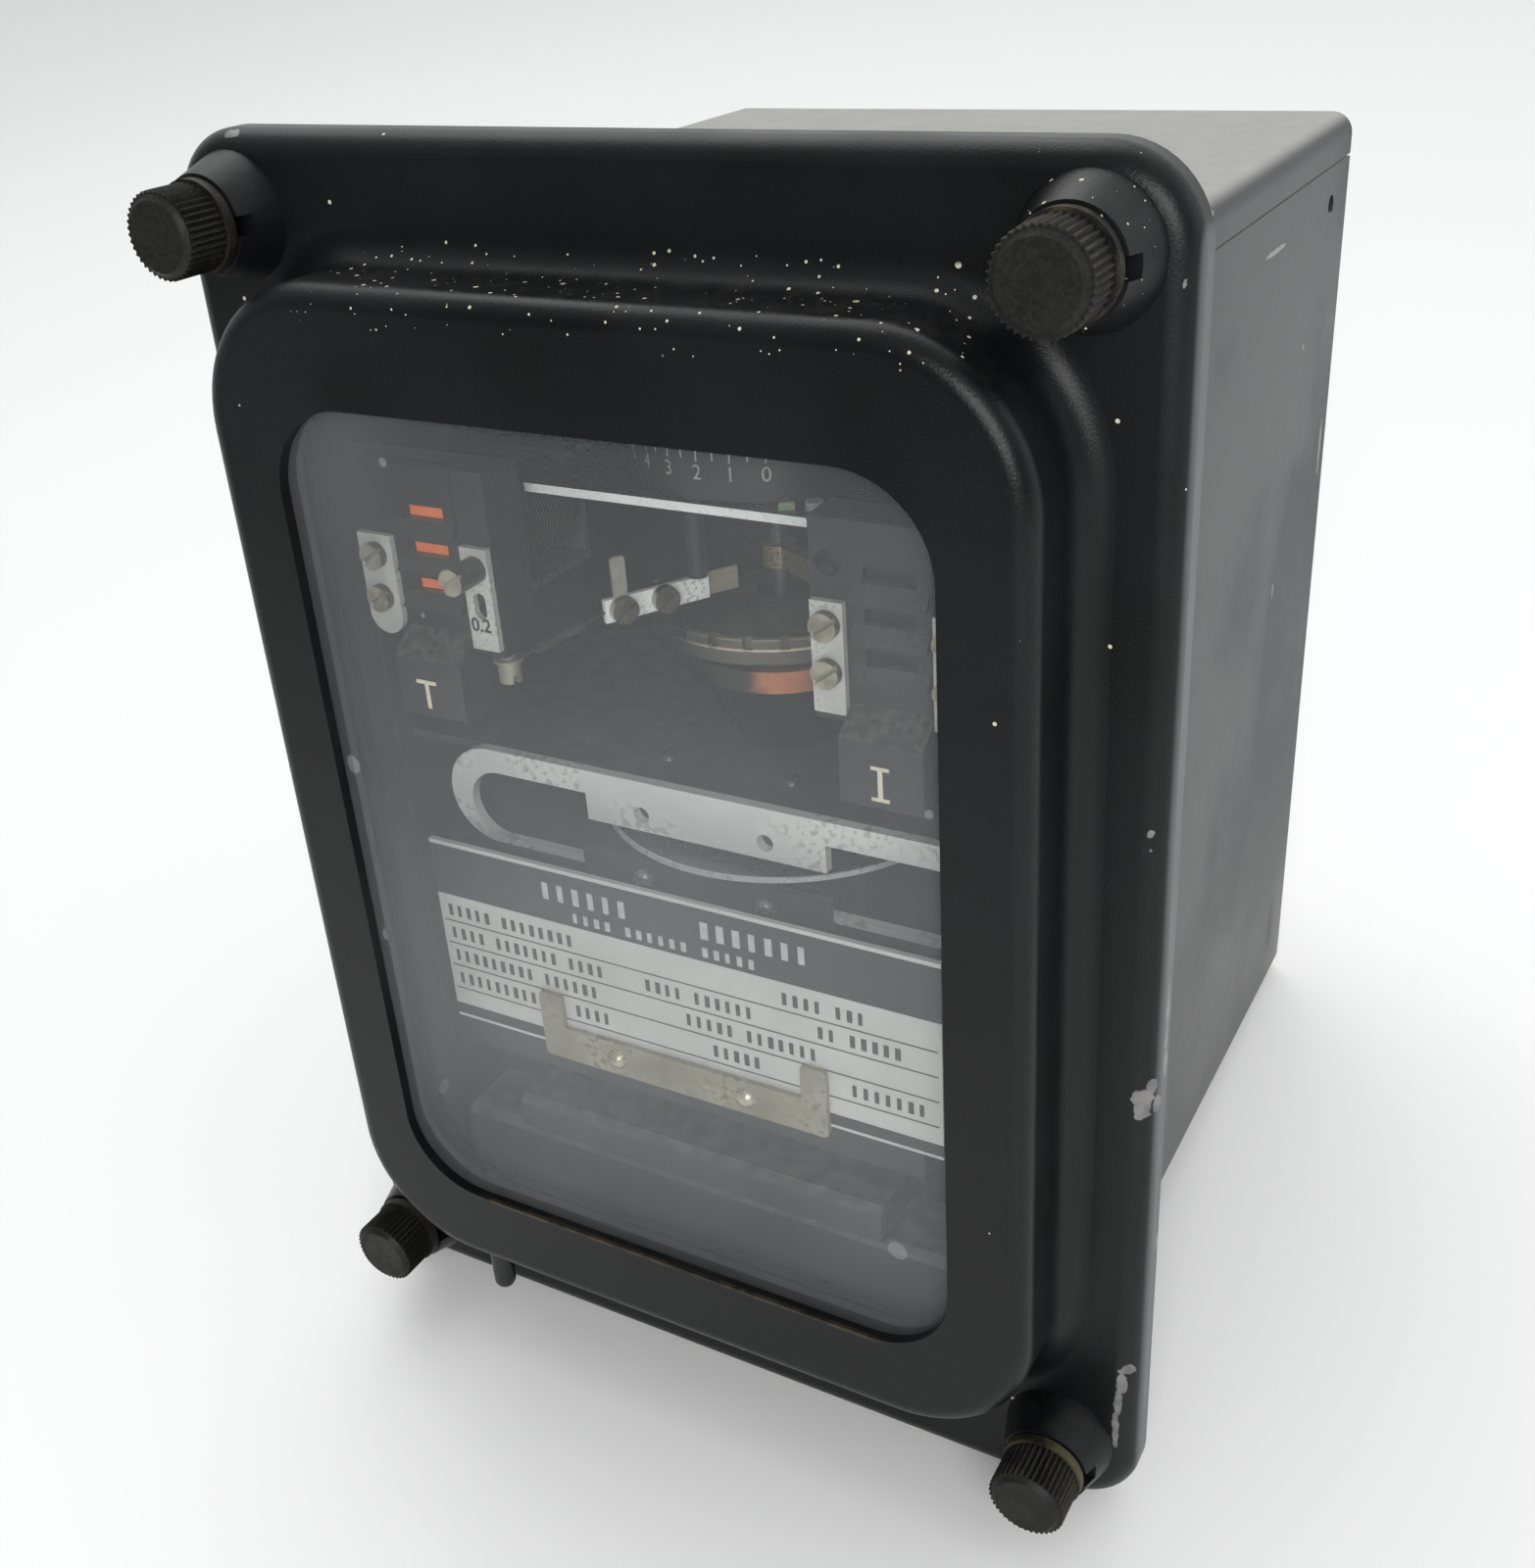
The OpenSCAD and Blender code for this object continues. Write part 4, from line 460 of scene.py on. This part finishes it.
def copper_finish():
    """Copper band, bare copper on its right front, painted dark as shade to its left and further back."""
    made = Finish("copper")
    tree = made.tree
    cloud = made.use(GRAIN, Size=0.005)
    x = calc(tree, "ADD", made.part_of_place(0), overlap(tree, cloud["Broad"], 0.002))
    # Painted shade: only the right front shows copper, and the rest of the band is painted dark.
    lit_copper = overlap(tree, fade(tree, x, 0.004, 0.009),
                    fade(tree, made.part_of_place(1), depth(30), depth(38), 1.0, 0.0))
    bright = mixed(tree, cloud["Broad"], tone("#b9714b"), tone("#d08a63"))
    dark = mixed(tree, cloud["Fine"], tone("#1f1a18"), tone("#33291f"))
    made.feed(Base_Color=mixed(tree, lit_copper, dark, bright),
              Metallic=overlap(tree, lit_copper, 0.4), Roughness=span(tree, cloud["Fine"], 0.34, 0.5))
    made.bump(cloud["Fine"], 0.00004, 0.2)
    return made.material


def disc_finish():
    """Aluminium disc, turned in fine rings, with a bright edge."""
    made = Finish("aluminium disc")
    tree = made.tree
    cloud = made.use(GRAIN, Size=0.02)
    out = made.off_axis(SHAFT, (1.0, 1.0, 0.0))
    rings = put(tree, "TexNoise", {"Scale": 1400.0, "Detail": 1.0, "W": out}, noise_dimensions="1D").outputs["Fac"]
    shade = overlap(tree, calc(tree, "ADD", cloud["Broad"], rings), 0.5)
    face = mixed(tree, shade, tone("#4c5052"), tone("#6a6f71"))
    rim = fade(tree, out, 0.0345, 0.03475)
    made.feed(Base_Color=mixed(tree, rim, face, tone("#dfe4e4")), Metallic=span(tree, rim, 0.75, 0.3),
              Roughness=span(tree, cloud["Fine"], 0.26, 0.36))
    made.bump(rings, 0.00002, 0.15)
    return made.material


def dome_finish():
    """Dome screws: nickel on the clip, grey on the keeper, dark on the shelf."""
    made = Finish("dome screws", Metallic=0.5)
    tree = made.tree
    cloud = made.use(GRAIN, Size=0.003)
    z = made.part_of_place(2)
    above_plate = calc(tree, "GREATER_THAN", z, level(95))
    on_shelf = calc(tree, "GREATER_THAN", z, level(116))
    nickel = mixed(tree, cloud["Broad"], tone("#a9a48f"), tone("#d2cdb8"))
    colour = mixed(tree, above_plate, nickel, mixed(tree, cloud["Broad"], tone("#7b838a"), tone("#9aa1a6")))
    colour = mixed(tree, on_shelf, colour, mixed(tree, cloud["Broad"], tone("#33373b"), tone("#4a4e53")))
    made.feed(Base_Color=colour, Roughness=span(tree, cloud["Fine"], 0.22, 0.34))
    made.bump(cloud["Fine"], 0.00003, 0.2)
    return made.material


def screw_finish():
    """Slotted screws: dull nickel on the faces towards the front, with brown painted shade round their sides."""
    made = Finish("slotted screws", Metallic=0.35)
    tree = made.tree
    cloud = made.use(GRAIN, Size=0.003)
    # Painted shade: faces that do not look to the front are coloured dark brown.
    front = made.facing_front(-0.9, -0.45)
    nickel = mixed(tree, cloud["Broad"], tone("#7f7a68"), tone("#ada894"))
    brown_with_painted_shade = mixed(tree, cloud["Broad"], tone("#3f3b33"), tone("#5d574b"))
    made.feed(Base_Color=mixed(tree, front, brown_with_painted_shade, nickel), Roughness=span(tree, cloud["Fine"], 0.28, 0.42))
    made.bump(cloud["Fine"], 0.00003, 0.2)
    return made.material


def winding_finish(name, colour, gap, pitch, axis):
    """Enamelled wire wound in even turns along an axis."""
    made = Finish(name, IOR=1.5)
    tree = made.tree
    turns = put(tree, "TexWave", {"Vector": made.place, "Scale": WAVE / pitch, "Distortion": 0.4, "Detail": 1.0},
                bands_direction=axis)
    cloud = made.use(GRAIN, Size=0.008)
    shade = overlap(tree, fade(tree, turns.outputs["Fac"], 0.0, 0.6),
                 span(tree, cloud["Broad"], 0.7, 1.0))
    made.feed(Base_Color=mixed(tree, shade, tone(gap), tone(colour)),
              Roughness=span(tree, cloud["Fine"], 0.3, 0.5))
    made.bump(turns.outputs["Fac"], 0.0003, 0.8)
    return made.material


def core_finish():
    """Stacked iron sheets with dark joints between them."""
    made = Finish("laminated iron")
    tree = made.tree
    thick = 0.001
    sheets = put(tree, "TexWave", {"Vector": made.place, "Scale": WAVE / thick, "Distortion": 0.2},
                 bands_direction="Y")
    cloud = made.use(GRAIN, Size=0.01)
    joint = fade(tree, sheets.outputs["Fac"], 0.0, 0.25)
    colour = mixed(tree, joint, tone("#1a1a1b"), mixed(tree, cloud["Broad"], tone("#4d4d50"), tone("#6a6764")))
    made.feed(Base_Color=colour, Roughness=span(tree, cloud["Fine"], 0.4, 0.6),
              Metallic=overlap(tree, joint, 0.6))
    made.bump(joint, 0.0001, 0.6)
    return made.material


def flag_finish():
    """Orange bars on the front of a black slide; the slide is told from the bars by its depth."""
    made = Finish("flag paint", IOR=1.5)
    tree = made.tree
    cloud = made.use(GRAIN, Size=0.004)
    front = fade(tree, made.part_of_place(1), depth(1.9), depth(2.0), 1.0, 0.0)
    orange = mixed(tree, cloud["Broad"], tone("#ff7a38"), tone("#ff9055"))
    made.feed(Base_Color=mixed(tree, front, tone("#161617"), orange),
              Roughness=span(tree, cloud["Fine"], 0.4, 0.55))
    made.bump(cloud["Fine"], 0.00005, 0.3)
    return made.material


def nameplate_finish():
    """Etched plate: black header and foot, a brushed silver field, bright edges."""
    made = Finish("nameplate")
    tree = made.tree
    cloud = made.use(GRAIN, Size=0.012)
    z = made.part_of_place(2)
    lower_rim, foot, head, upper_rim = level(73.1), level(75.5), level(100.1), level(110.7)
    field = overlap(tree, calc(tree, "LESS_THAN", z, head), calc(tree, "GREATER_THAN", z, foot))
    rim = most(tree, calc(tree, "GREATER_THAN", z, upper_rim), calc(tree, "LESS_THAN", z, lower_rim))
    brushed = put(tree, "TexNoise", {"Vector": aim(tree, "MULTIPLY", made.place, (0.06, 1.0, 1.0)), "Scale": 2600.0})
    silver = mixed(tree, overlap(tree, calc(tree, "ADD", brushed.outputs["Fac"], cloud["Broad"]), 0.5),
                   tone("#c4c7c2"), tone("#dcded8"))
    ink = mixed(tree, cloud["Fine"], tone("#1b1c1f"), tone("#26272a"))
    bright = most(tree, field, rim)
    made.feed(Base_Color=mixed(tree, bright, ink, silver), Metallic=overlap(tree, bright, 0.25),
              Roughness=fade(tree, brushed.outputs["Fac"], 0.3, 0.7, 0.36, 0.5))
    made.bump(brushed.outputs["Fac"], 0.00002, 0.1)
    return made.material


def ink_finish(name, dark, light):
    """Printed or filled marks, a little uneven."""
    made = Finish(name)
    cloud = made.use(GRAIN, Size=0.0015)
    made.feed(Base_Color=mixed(made.tree, cloud["Broad"], tone(dark), tone(light)),
              Roughness=span(made.tree, cloud["Fine"], 0.45, 0.65))
    return made.material


def seal_finish():
    """Black rubber with a dull bloom."""
    made = Finish("seal rubber", IOR=1.5)
    cloud = made.use(GRAIN, Size=0.004)
    made.feed(Base_Color=mixed(made.tree, cloud["Broad"], tone("#161616"), tone("#242424")),
              Roughness=span(made.tree, cloud["Fine"], 0.7, 0.9))
    made.bump(cloud["Fine"], 0.0001, 0.4)
    return made.material


def dress_nodes():
    """Gives every node of the frame its finish."""
    black = moulding_finish("black moulding", "#18191b", "#222326", 0.40)
    barrel = moulding_finish("barrel moulding", "#101113", "#18191b", 0.34)
    plug = moulding_finish("plug moulding", "#2b2c2f", "#37383b", 0.42, 0.03)
    dark = metal_finish("dark steel", "#2a2b2e", "#3b3c40", 0.46, 0.3, stain="#1c1b1a")
    shelf = metal_finish("dull shelf paint", "#303133", "#3c3d3f", 0.50, 0.0, size=0.02)
    bright = metal_finish("bright steel", "#dfe6e1", "#f4f8f4", 0.34, 0.15, (1.0, 1.0, 0.05), "#8d8a76")
    strips = metal_finish("plated strip", "#aeb1aa", "#cfd1c9", 0.38, 0.15, (1.0, 1.0, 0.06), "#9d9a8a")
    alloy = metal_finish("light alloy", "#d8dcd8", "#eef0ec", 0.40, 0.12, (0.06, 1.0, 1.0), "#a8aaa2", 0.014)
    brass = metal_finish("dull brass", "#84795a", "#a89c76", 0.38, 0.6, stain="#57503b")
    bronze = metal_finish("brown bronze", "#857e6e", "#a39b89", 0.40, 0.15, stain="#6d6455", size=0.004)
    post = metal_finish("blackened post", "#1c1d1f", "#2a2b2d", 0.42, 0.3)
    nickel = metal_finish("terminal nickel", "#98937f", "#c4c0ad", 0.34, 0.4, stain="#6b6553", size=0.003)
    clip = metal_finish("stained clip", "#7c7663", "#aca793", 0.42, 0.1, stain="#625a41", size=0.011)
    iron = metal_finish("plain iron", "#525356", "#727376", 0.42, 0.6, stain="#3d3630")
    magnet = metal_finish("magnet iron", "#333436", "#48494c", 0.5, 0.4, size=0.01)
    keeper = metal_finish("keeper plate", "#3b3c40", "#4c4d51", 0.44, 0.3, (0.06, 1.0, 1.0))
    cover, case, seal, flag, core = cover_paint(), case_paint(), seal_finish(), flag_finish(), core_finish()
    finishes = {
        cover: ("cover_shell",),
        case: ("case_wrap", "case_top", "mounting_flange"),
        window_finish(): ("window_glass",),
        black: ("time_dial", "target_base", "target_front", "instant_base", "instant_front", "terminal_block",
                "cable_block"),
        barrel: ("spring_barrel", "reset_rod"),
        plug: ("connection_plug",),
        dark: ("cradle_frame", "unit_brackets", "glass_retainer", "nameplate_bracket", "lower_plate"),
        shelf: ("shelf_plate",),
        bright: ("contact_strip",),
        post: ("contact_post",),
        plate_edge_finish(): ("upper_plate",),
        strips: ("target_strips", "instant_strips"),
        alloy: ("magnet_frame",),
        bronze: ("contact_leaf",),
        ring_finish(): ("spring_ring",),
        brass: ("moving_contact", "lower_bearing", "upper_bearing", "contact_fingers",
                "cover_studs", "terminal_studs"),
        screw_finish(): ("slotted_screws",),
        nickel: ("terminal_nuts",),
        dome_finish(): ("dome_screws",),
        clip: ("nameplate_clip",),
        copper_finish(): ("copper_band",),
        iron: ("disc_shaft", "target_yoke", "instant_yoke", "target_armature", "instant_armature"),
        magnet: ("damping_magnets",),
        disc_finish(): ("induction_disc",),
        keeper: ("keeper_plate",),
        core: ("drive_core",),
        seal: ("flange_gasket",),
        flag: ("target_flag", "instant_flag"),
        nameplate_finish(): ("nameplate",),
        winding_finish("drive winding", "#7a4427", "#2c1a10", 0.0012, "Z"): ("drive_coils",),
        winding_finish("unit winding", "#3a2f28", "#141110", 0.0008, "Y"): ("target_coil", "instant_coil"),
        nut_finish("blackened nut upper left", -70.5, 219.2, 0.10): ("thumb_nut_top_left",),
        nut_finish("rubbed nut upper right", 70.5, 219.2, 0.62): ("thumb_nut_top_right",),
        nut_finish("blackened nut lower left", -70.5, 14.9, 0.08): ("thumb_nut_bottom_left",),
        nut_finish("rubbed nut lower right", 70.5, 14.9, 0.70): ("thumb_nut_bottom_right",),
    }
    for material, names in finishes.items():
        for name in names:
            nodes[name].data.materials.clear()
            nodes[name].data.materials.append(material)


# Marks and print

def piece(name, mesh, material, body):
    """Links a bmesh as one piece that rides on a body."""
    data = bpy.data.meshes.new(name)
    mesh.to_mesh(data)
    mesh.free()
    data.materials.append(material)
    made = bpy.data.objects.new(name, data)
    scene.collection.objects.link(made)
    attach(made, body)


def raised(mesh, low, high):
    """Adds a thin raised mark between two layout corners."""
    a, b = at(*low), at(*high)
    size = Matrix.Diagonal((b.x - a.x, b.y - a.y, b.z - a.z, 1.0))
    bmesh.ops.create_cube(mesh, size=1.0, matrix=Matrix.Translation((a + b) / 2) @ size)


def lettering(mesh, word, height, place, bold=0.0):
    """Adds thin numerals of a height in mm by a matrix that takes X along, Y up, Z out; bold widens the strokes."""
    curve = bpy.data.curves.new("mark", "FONT")
    curve.body = word
    curve.align_x, curve.align_y = "CENTER", "CENTER"
    curve.size = height / NUMERAL / 1000
    curve.extrude, curve.offset = 0.00003, bold / 1000
    holder = bpy.data.objects.new("mark", curve)
    scene.collection.objects.link(holder)
    bpy.context.view_layer.update()
    flat = holder.evaluated_get(bpy.context.evaluated_depsgraph_get()).to_mesh()
    flat.transform(place)
    mesh.from_mesh(flat)
    bpy.data.objects.remove(holder)
    bpy.data.curves.remove(curve)


def nameplate_print():
    """Ruled lines and greeked words, with no wording."""
    rng = random.Random(4)
    face, proud, sunk = -3.2, 0.05, 0.02
    dark, light = bmesh.new(), bmesh.new()

    def words(mesh, x, z, height, letters, pitch):
        for count in letters:
            for _ in range(count):
                wide = pitch * rng.uniform(0.36, 0.5)
                raised(mesh, (x, face - proud, z), (x + wide, face + sunk, z + height))
                x += pitch
            x += pitch * 0.9

    words(light, -26, 104.7, 3.4, (6,), 3.2)
    words(light, 6.5, 104.7, 3.4, (7,), 3.1)
    words(light, -20, 101.1, 1.9, (4, 6, 5), 2.25)
    rows = ((95.6, ((-48.5, (5, 8)), (21.5, (4, 3)))), (90.6, ((-48.5, (4, 7, 4)), (-6, (4, 6)), (28, (2, 5)))),
            (85.6, ((-48.5, (9, 6)), (2, (5, 7)))), (80.4, ((-48.5, (12, 4)), (7, (5,)), (34, (7,)))))
    for z, groups in rows:
        raised(dark, (-49.8, face - proud, z - 1.35), (49.8, face + sunk, z - 1.1))
        for x, letters in groups:
            words(dark, x, z, 2.4, letters, 2.05)
    piece("nameplate_words", dark, ink_finish("plate ink", "#2c2d30", "#3a3b3e"), "case")
    piece("nameplate_heading", light, ink_finish("plate silver", "#b3b6b4", "#c8cac7"), "case")


def unit_marks():
    """The letters on the noses of the two units, and the tap value on the left unit's strip."""
    cream, dark = bmesh.new(), bmesh.new()
    front, back, z = -5.06, -4.95, 142.3
    left, right = -43, 42.1
    for x, half, low, high in ((left, 2.1, 1.9, 2.6), (left, 0.4, -2.6, 1.9),
                               (right, 1.5, -2.9, -2.3), (right, 1.5, 2.3, 2.9), (right, 0.4, -2.3, 2.3)):
        raised(cream, (x - half, front, z + low), (x + half, back, z + high))
    piece("unit_letters", cream, ink_finish("cream filling", "#d8d0b4", "#e6dfc8"), "case")
    facing = Matrix.Translation(at(-32.55, 0, 154.9)) @ Matrix.Rotation(math.radians(90), 4, "X")
    facing.translation.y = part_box("target_strips")[0].y - 0.00002
    lettering(dark, "0.2", 2.3, facing, 0.07)
    piece("tap_mark", dark, ink_finish("stamped ink", "#1b1b1c", "#29292a"), "case")


def dial_marks():
    """Numerals and division lines round the setting dial."""
    marks = bmesh.new()
    low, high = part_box("time_dial")
    middle, radius = (low + high) / 2, (high.x - low.x) / 2

    def on_rim(turn, height):
        spin = Matrix.Rotation(math.radians(turn), 4, "Z")
        out = Matrix.Translation((0.0, -radius, 0.0)) @ Matrix.Rotation(math.radians(90), 4, "X")
        return Matrix.Translation((middle.x, middle.y, level(height))) @ spin @ out

    first, spacing, line_z, numeral_z = 27.0, 6.9, 182.2, 179.3
    for step in range(21):
        turn, numbered = first - spacing * step, step % 2 == 0
        size = Matrix.Diagonal((0.0003, 0.002 if numbered else 0.0014, 0.00008, 1.0))
        bmesh.ops.create_cube(marks, size=1.0, matrix=on_rim(turn, line_z) @ size)
        if numbered:
            lettering(marks, str(step // 2), 2.4, on_rim(turn, numeral_z))
    piece("dial_marks", marks, ink_finish("dial filling", "#8d8b82", "#b0aea5"), "time_dial")


# Small fittings behind the glass

def turned(mesh, profile, place, sides=40):
    """Adds a turned body from a loop of (radius, height) points in mm, about the Z axis of a matrix."""
    rings = [[mesh.verts.new(place @ (Vector((r * math.cos(a), r * math.sin(a), h)) / 1000))
              for a in (2 * math.pi * k / sides for k in range(sides))] for r, h in profile]
    for a, b in zip(rings, rings[1:] + rings[:1]):
        for k in range(sides):
            mesh.faces.new((a[k - 1], a[k], b[k], b[k - 1]))


def cut_sheet(mesh, outline, thick, place):
    """Adds a flat piece with an outline in mm in a matrix's XY plane, its thickness along Z."""
    faces = [[mesh.verts.new(place @ (Vector((u, v, h)) / 1000)) for u, v in outline] for h in (0.0, thick)]
    mesh.faces.new(faces[0][::-1])
    mesh.faces.new(faces[1])
    for k in range(len(outline)):
        mesh.faces.new((faces[0][k - 1], faces[0][k], faces[1][k], faces[1][k - 1]))


def slotted_head(mesh, place, radius, height, slot):
    """Adds a screw head with a slot across its top."""
    floor = height * 0.6
    turned(mesh, ((0.01, 0.0), (radius, 0.0), (radius, floor), (0.01, floor)), place)
    reach = math.asin(slot / 2 / radius)
    arc = [reach + (math.pi - 2 * reach) * k / 14 for k in range(15)]
    for side in (1, -1):
        half = [(side * radius * math.cos(a), side * radius * math.sin(a)) for a in arc]
        cut_sheet(mesh, half, height - floor + 0.05, place @ Matrix.Translation((0.0, 0.0, (floor - 0.05) / 1000)))


def coiled_wire(mesh, start, end, turns, coil, wire, sides=6):
    """Adds a small coil spring with straight ends between two layout points; coil and wire are radii in mm."""
    a, b = at(*start), at(*end)
    along = (b - a).normalized()
    turn = along.to_track_quat("Z", "Y").to_matrix()
    per_turn, straight = 12, 0.22
    steps, half_turn = turns * per_turn, per_turn / 2
    path = [a]
    for k in range(steps + 1):
        share, angle = straight + (1 - 2 * straight) * k / steps, 2 * math.pi * k / per_turn
        reach = coil * min(1.0, k / half_turn, (steps - k) / half_turn) / 1000
        path.append(a.lerp(b, share) + turn @ Vector((math.cos(angle), math.sin(angle), 0.0)) * reach)
    path.append(b)
    rings, frame_turn, last = [], turn, along
    for k, spot in enumerate(path):
        way = (path[min(k + 1, len(path) - 1)] - path[max(k - 1, 0)]).normalized()
        frame_turn = last.rotation_difference(way).to_matrix() @ frame_turn
        last = way
        rings.append([mesh.verts.new(spot + frame_turn @ Vector((math.cos(t), math.sin(t), 0.0)) * wire / 1000)
                      for t in (2 * math.pi * n / sides for n in range(sides))])
    for p, q in zip(rings, rings[1:]):
        for n in range(sides):
            mesh.faces.new((p[n - 1], p[n], q[n], q[n - 1]))
    mesh.faces.new(rings[0][::-1])
    mesh.faces.new(rings[-1])


def tidy_faces(mesh):
    bmesh.ops.remove_doubles(mesh, verts=mesh.verts, dist=1e-7)
    bmesh.ops.recalc_face_normals(mesh, faces=mesh.faces)


def contact_tab():
    """Upright tab on the contact strip's outer end."""
    mesh = bmesh.new()
    along, up = Vector((-0.530, -0.848, 0.0)), Vector((0.0, 0.0, 1.0))
    place = Matrix((along, up, along.cross(up))).transposed().to_4x4()
    place.translation = at(-10.3, 8.3, 0)
    place.translation.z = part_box("contact_strip")[1].z - 0.0002
    half, tall, thick, round_r = 1.2, 7.2, 0.8, 0.6
    corner = [(half - round_r + round_r * math.cos(a), tall - round_r + round_r * math.sin(a))
              for a in (math.pi / 2 * k / 5 for k in range(6))]
    cut_sheet(mesh, [(-half, 0.0), (half, 0.0)] + corner + [(-u, v) for u, v in corner[::-1]], thick, place)
    tidy_faces(mesh)
    piece("contact_tab", mesh, metal_finish("dull tab", "#8d8b82", "#b3b1a6", 0.4, 0.2, size=0.004), "case")


def unit_foot():
    """Slotted screw with a washer below the left unit, and the coiled link from it to the contact strip."""
    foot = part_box("target_base")[0].z
    nickel = metal_finish("foot screw nickel", "#8e8a79", "#b5b19f", 0.36, 0.35, stain="#655f50", size=0.003)
    screw = bmesh.new()
    spot = Matrix.Translation(at(-32.3, 4.3, 0)) @ Matrix.Rotation(math.pi, 4, "X")
    spot.translation.z = foot
    turned(screw, ((0.01, -0.05), (1.2, -0.05), (1.2, 2.0), (2.5, 2.0), (2.5, 2.6), (0.01, 2.6)), spot)
    slotted_head(screw, spot @ Matrix.Translation((0, 0, 0.0026)) @ Matrix.Rotation(0.5, 4, "Z"), 2.0, 3.6, 0.7)
    tidy_faces(screw)
    piece("unit_foot_screw", screw, nickel, "case")
    link = bmesh.new()
    low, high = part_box("contact_strip")
    coiled_wire(link, (-30.4, 4.3, 147.0), (-12.2, 5.9, (low.z + high.z) * 500 + FOOT_Z), 22, 0.75, 0.2)
    tidy_faces(link)
    piece("contact_link", link, metal_finish("link wire", "#2b2725", "#47423d", 0.4, 0.4, size=0.003), "case")


def dial_pointer():
    """Index wedge with its screw on the upper plate in front of the dial."""
    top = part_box("upper_plate")[1].z
    wedge, screw = bmesh.new(), bmesh.new()
    place = Matrix.Translation(at(16.3, 17.4, 0)) @ Matrix.Rotation(math.radians(33), 4, "Z")
    place.translation.z = top - 0.00005
    cut_sheet(wedge, [(-1.3, -0.4), (1.3, -0.4), (1.1, 0.9), (0.25, 2.5), (-0.25, 2.5), (-1.1, 0.9)], 1.3, place)
    tidy_faces(wedge)
    piece("dial_pointer", wedge, metal_finish("green brass", "#6f8a63", "#a7bb95", 0.36, 0.2, size=0.003), "case")
    place = Matrix.Translation(at(20.4, 19.0, 0))
    place.translation.z = top - 0.00005
    slotted_head(screw, place, 1.5, 1.5, 0.5)
    tidy_faces(screw)
    piece("pointer_screw", screw, metal_finish("pointer nickel", "#a9aba6", "#d3d5cf", 0.3, 0.3, size=0.003), "case")


def ring_skirt():
    """Plain band below the notched edge of the spring ring."""
    mesh = bmesh.new()
    place = Matrix.Translation(at(*SHAFT))
    place.translation.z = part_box("spring_ring")[0].z
    turned(mesh, ((22.4, -2.75), (23.2, -2.75), (23.45, -2.5), (23.45, 0.05), (22.4, 0.05)), place, 96)
    tidy_faces(mesh)
    piece("ring_skirt", mesh, nodes["spring_ring"].data.materials[0], "spring_ring")


# Studio

def studio():
    """A pale floor that meets the two edges on which the relay leans, darkened in front where reflections see it as
    painted shade, and soft light.
    """
    floor_mesh = bmesh.new()
    bmesh.ops.create_grid(floor_mesh, x_segments=1, y_segments=1, size=6.0)
    data = bpy.data.meshes.new("floor")
    floor_mesh.to_mesh(data)
    floor_mesh.free()
    floor = bpy.data.objects.new("floor", data)
    floor.location = (0.0, 0.0, level(-0.1))
    floor.rotation_euler = (math.atan2(CASE_FOOT, CASE_DEPTH), 0.0, 0.0)
    scene.collection.objects.link(floor)
    pale = Finish("pale floor", Roughness=0.55)
    tree = pale.tree
    # Painted shade: seen by glossy rays only, the floor in front goes dark grey, so its reflections on the relay are
    # darker.
    mirrored = put(tree, "LightPath").outputs["Is Glossy Ray"]
    reflected_shade_in_front = fade(tree, pale.part_of_place(1), -0.60, -0.15, 0.62, 0.0)
    pale.feed(Base_Color=mixed(tree, overlap(tree, mirrored, reflected_shade_in_front), tone("#f3f3f2"), tone("#202122")))
    data.materials.append(pale.material)

    world = bpy.data.worlds.new("studio")
    scene.world = world
    world.use_nodes = True
    tree = world.node_tree
    tree.nodes.clear()
    way = put(tree, "TexCoord").outputs["Generated"]
    split = put(tree, "SeparateXYZ", {0: way}).outputs
    behind = fade(tree, split[1], -0.6, 0.5, 0.15, 0.80)
    above = fade(tree, split[2], 0.1, 0.9, 0.0, 0.35)
    seen = put(tree, "LightPath").outputs["Is Camera Ray"]
    strength = span(tree, seen, calc(tree, "ADD", behind, above), 0.86)
    shade = put(tree, "Background", {"Color": (0.98, 0.99, 1.0, 1.0), "Strength": strength})
    join(tree, put(tree, "OutputWorld").inputs[0], shade.outputs[0])

    for name, spot, target, size, watts in (
            ("top soft light", (-0.45, 0.40, 1.20), (0.0, 0.02, 0.0), 1.1, 5.0),
            ("front soft light", (0.58, -1.06, 0.46), (0.0, 0.0, 0.02), 0.75, 12.0),
            ("side soft light", (1.25, 0.55, 0.55), (0.05, 0.06, 0.0), 0.9, 1.2)):
        lamp = bpy.data.lights.new(name, "AREA")
        lamp.shape, lamp.size, lamp.energy = "SQUARE", size, watts
        holder = bpy.data.objects.new(name, lamp)
        holder.location = spot
        holder.rotation_euler = (Vector(target) - Vector(spot)).to_track_quat("-Z", "Y").to_euler()
        scene.collection.objects.link(holder)


def camera():
    """The photograph's camera, fitted to the relay's edges."""
    right = Vector((0.8732096, 0.4833689, -0.0621256))
    down = Vector((0.1807124, -0.4395429, -0.8798551))
    ahead = Vector((-0.4526014, 0.7570710, -0.4711639))
    data = bpy.data.cameras.new("photo camera")
    data.sensor_width, data.lens = 36.0, 39.7925
    data.clip_start = 0.01
    made = bpy.data.objects.new("photo camera", data)
    turn = Matrix((right, -down, -ahead)).transposed().to_4x4()
    made.matrix_world = Matrix.Translation((0.143463, -0.213942, 0.148178)) @ turn
    scene.collection.objects.link(made)
    scene.camera = made


camera()
studio()
dress_nodes()
nameplate_print()
unit_marks()
dial_marks()
contact_tab()
unit_foot()
dial_pointer()
ring_skirt()

scene.view_settings.view_transform = "Standard"
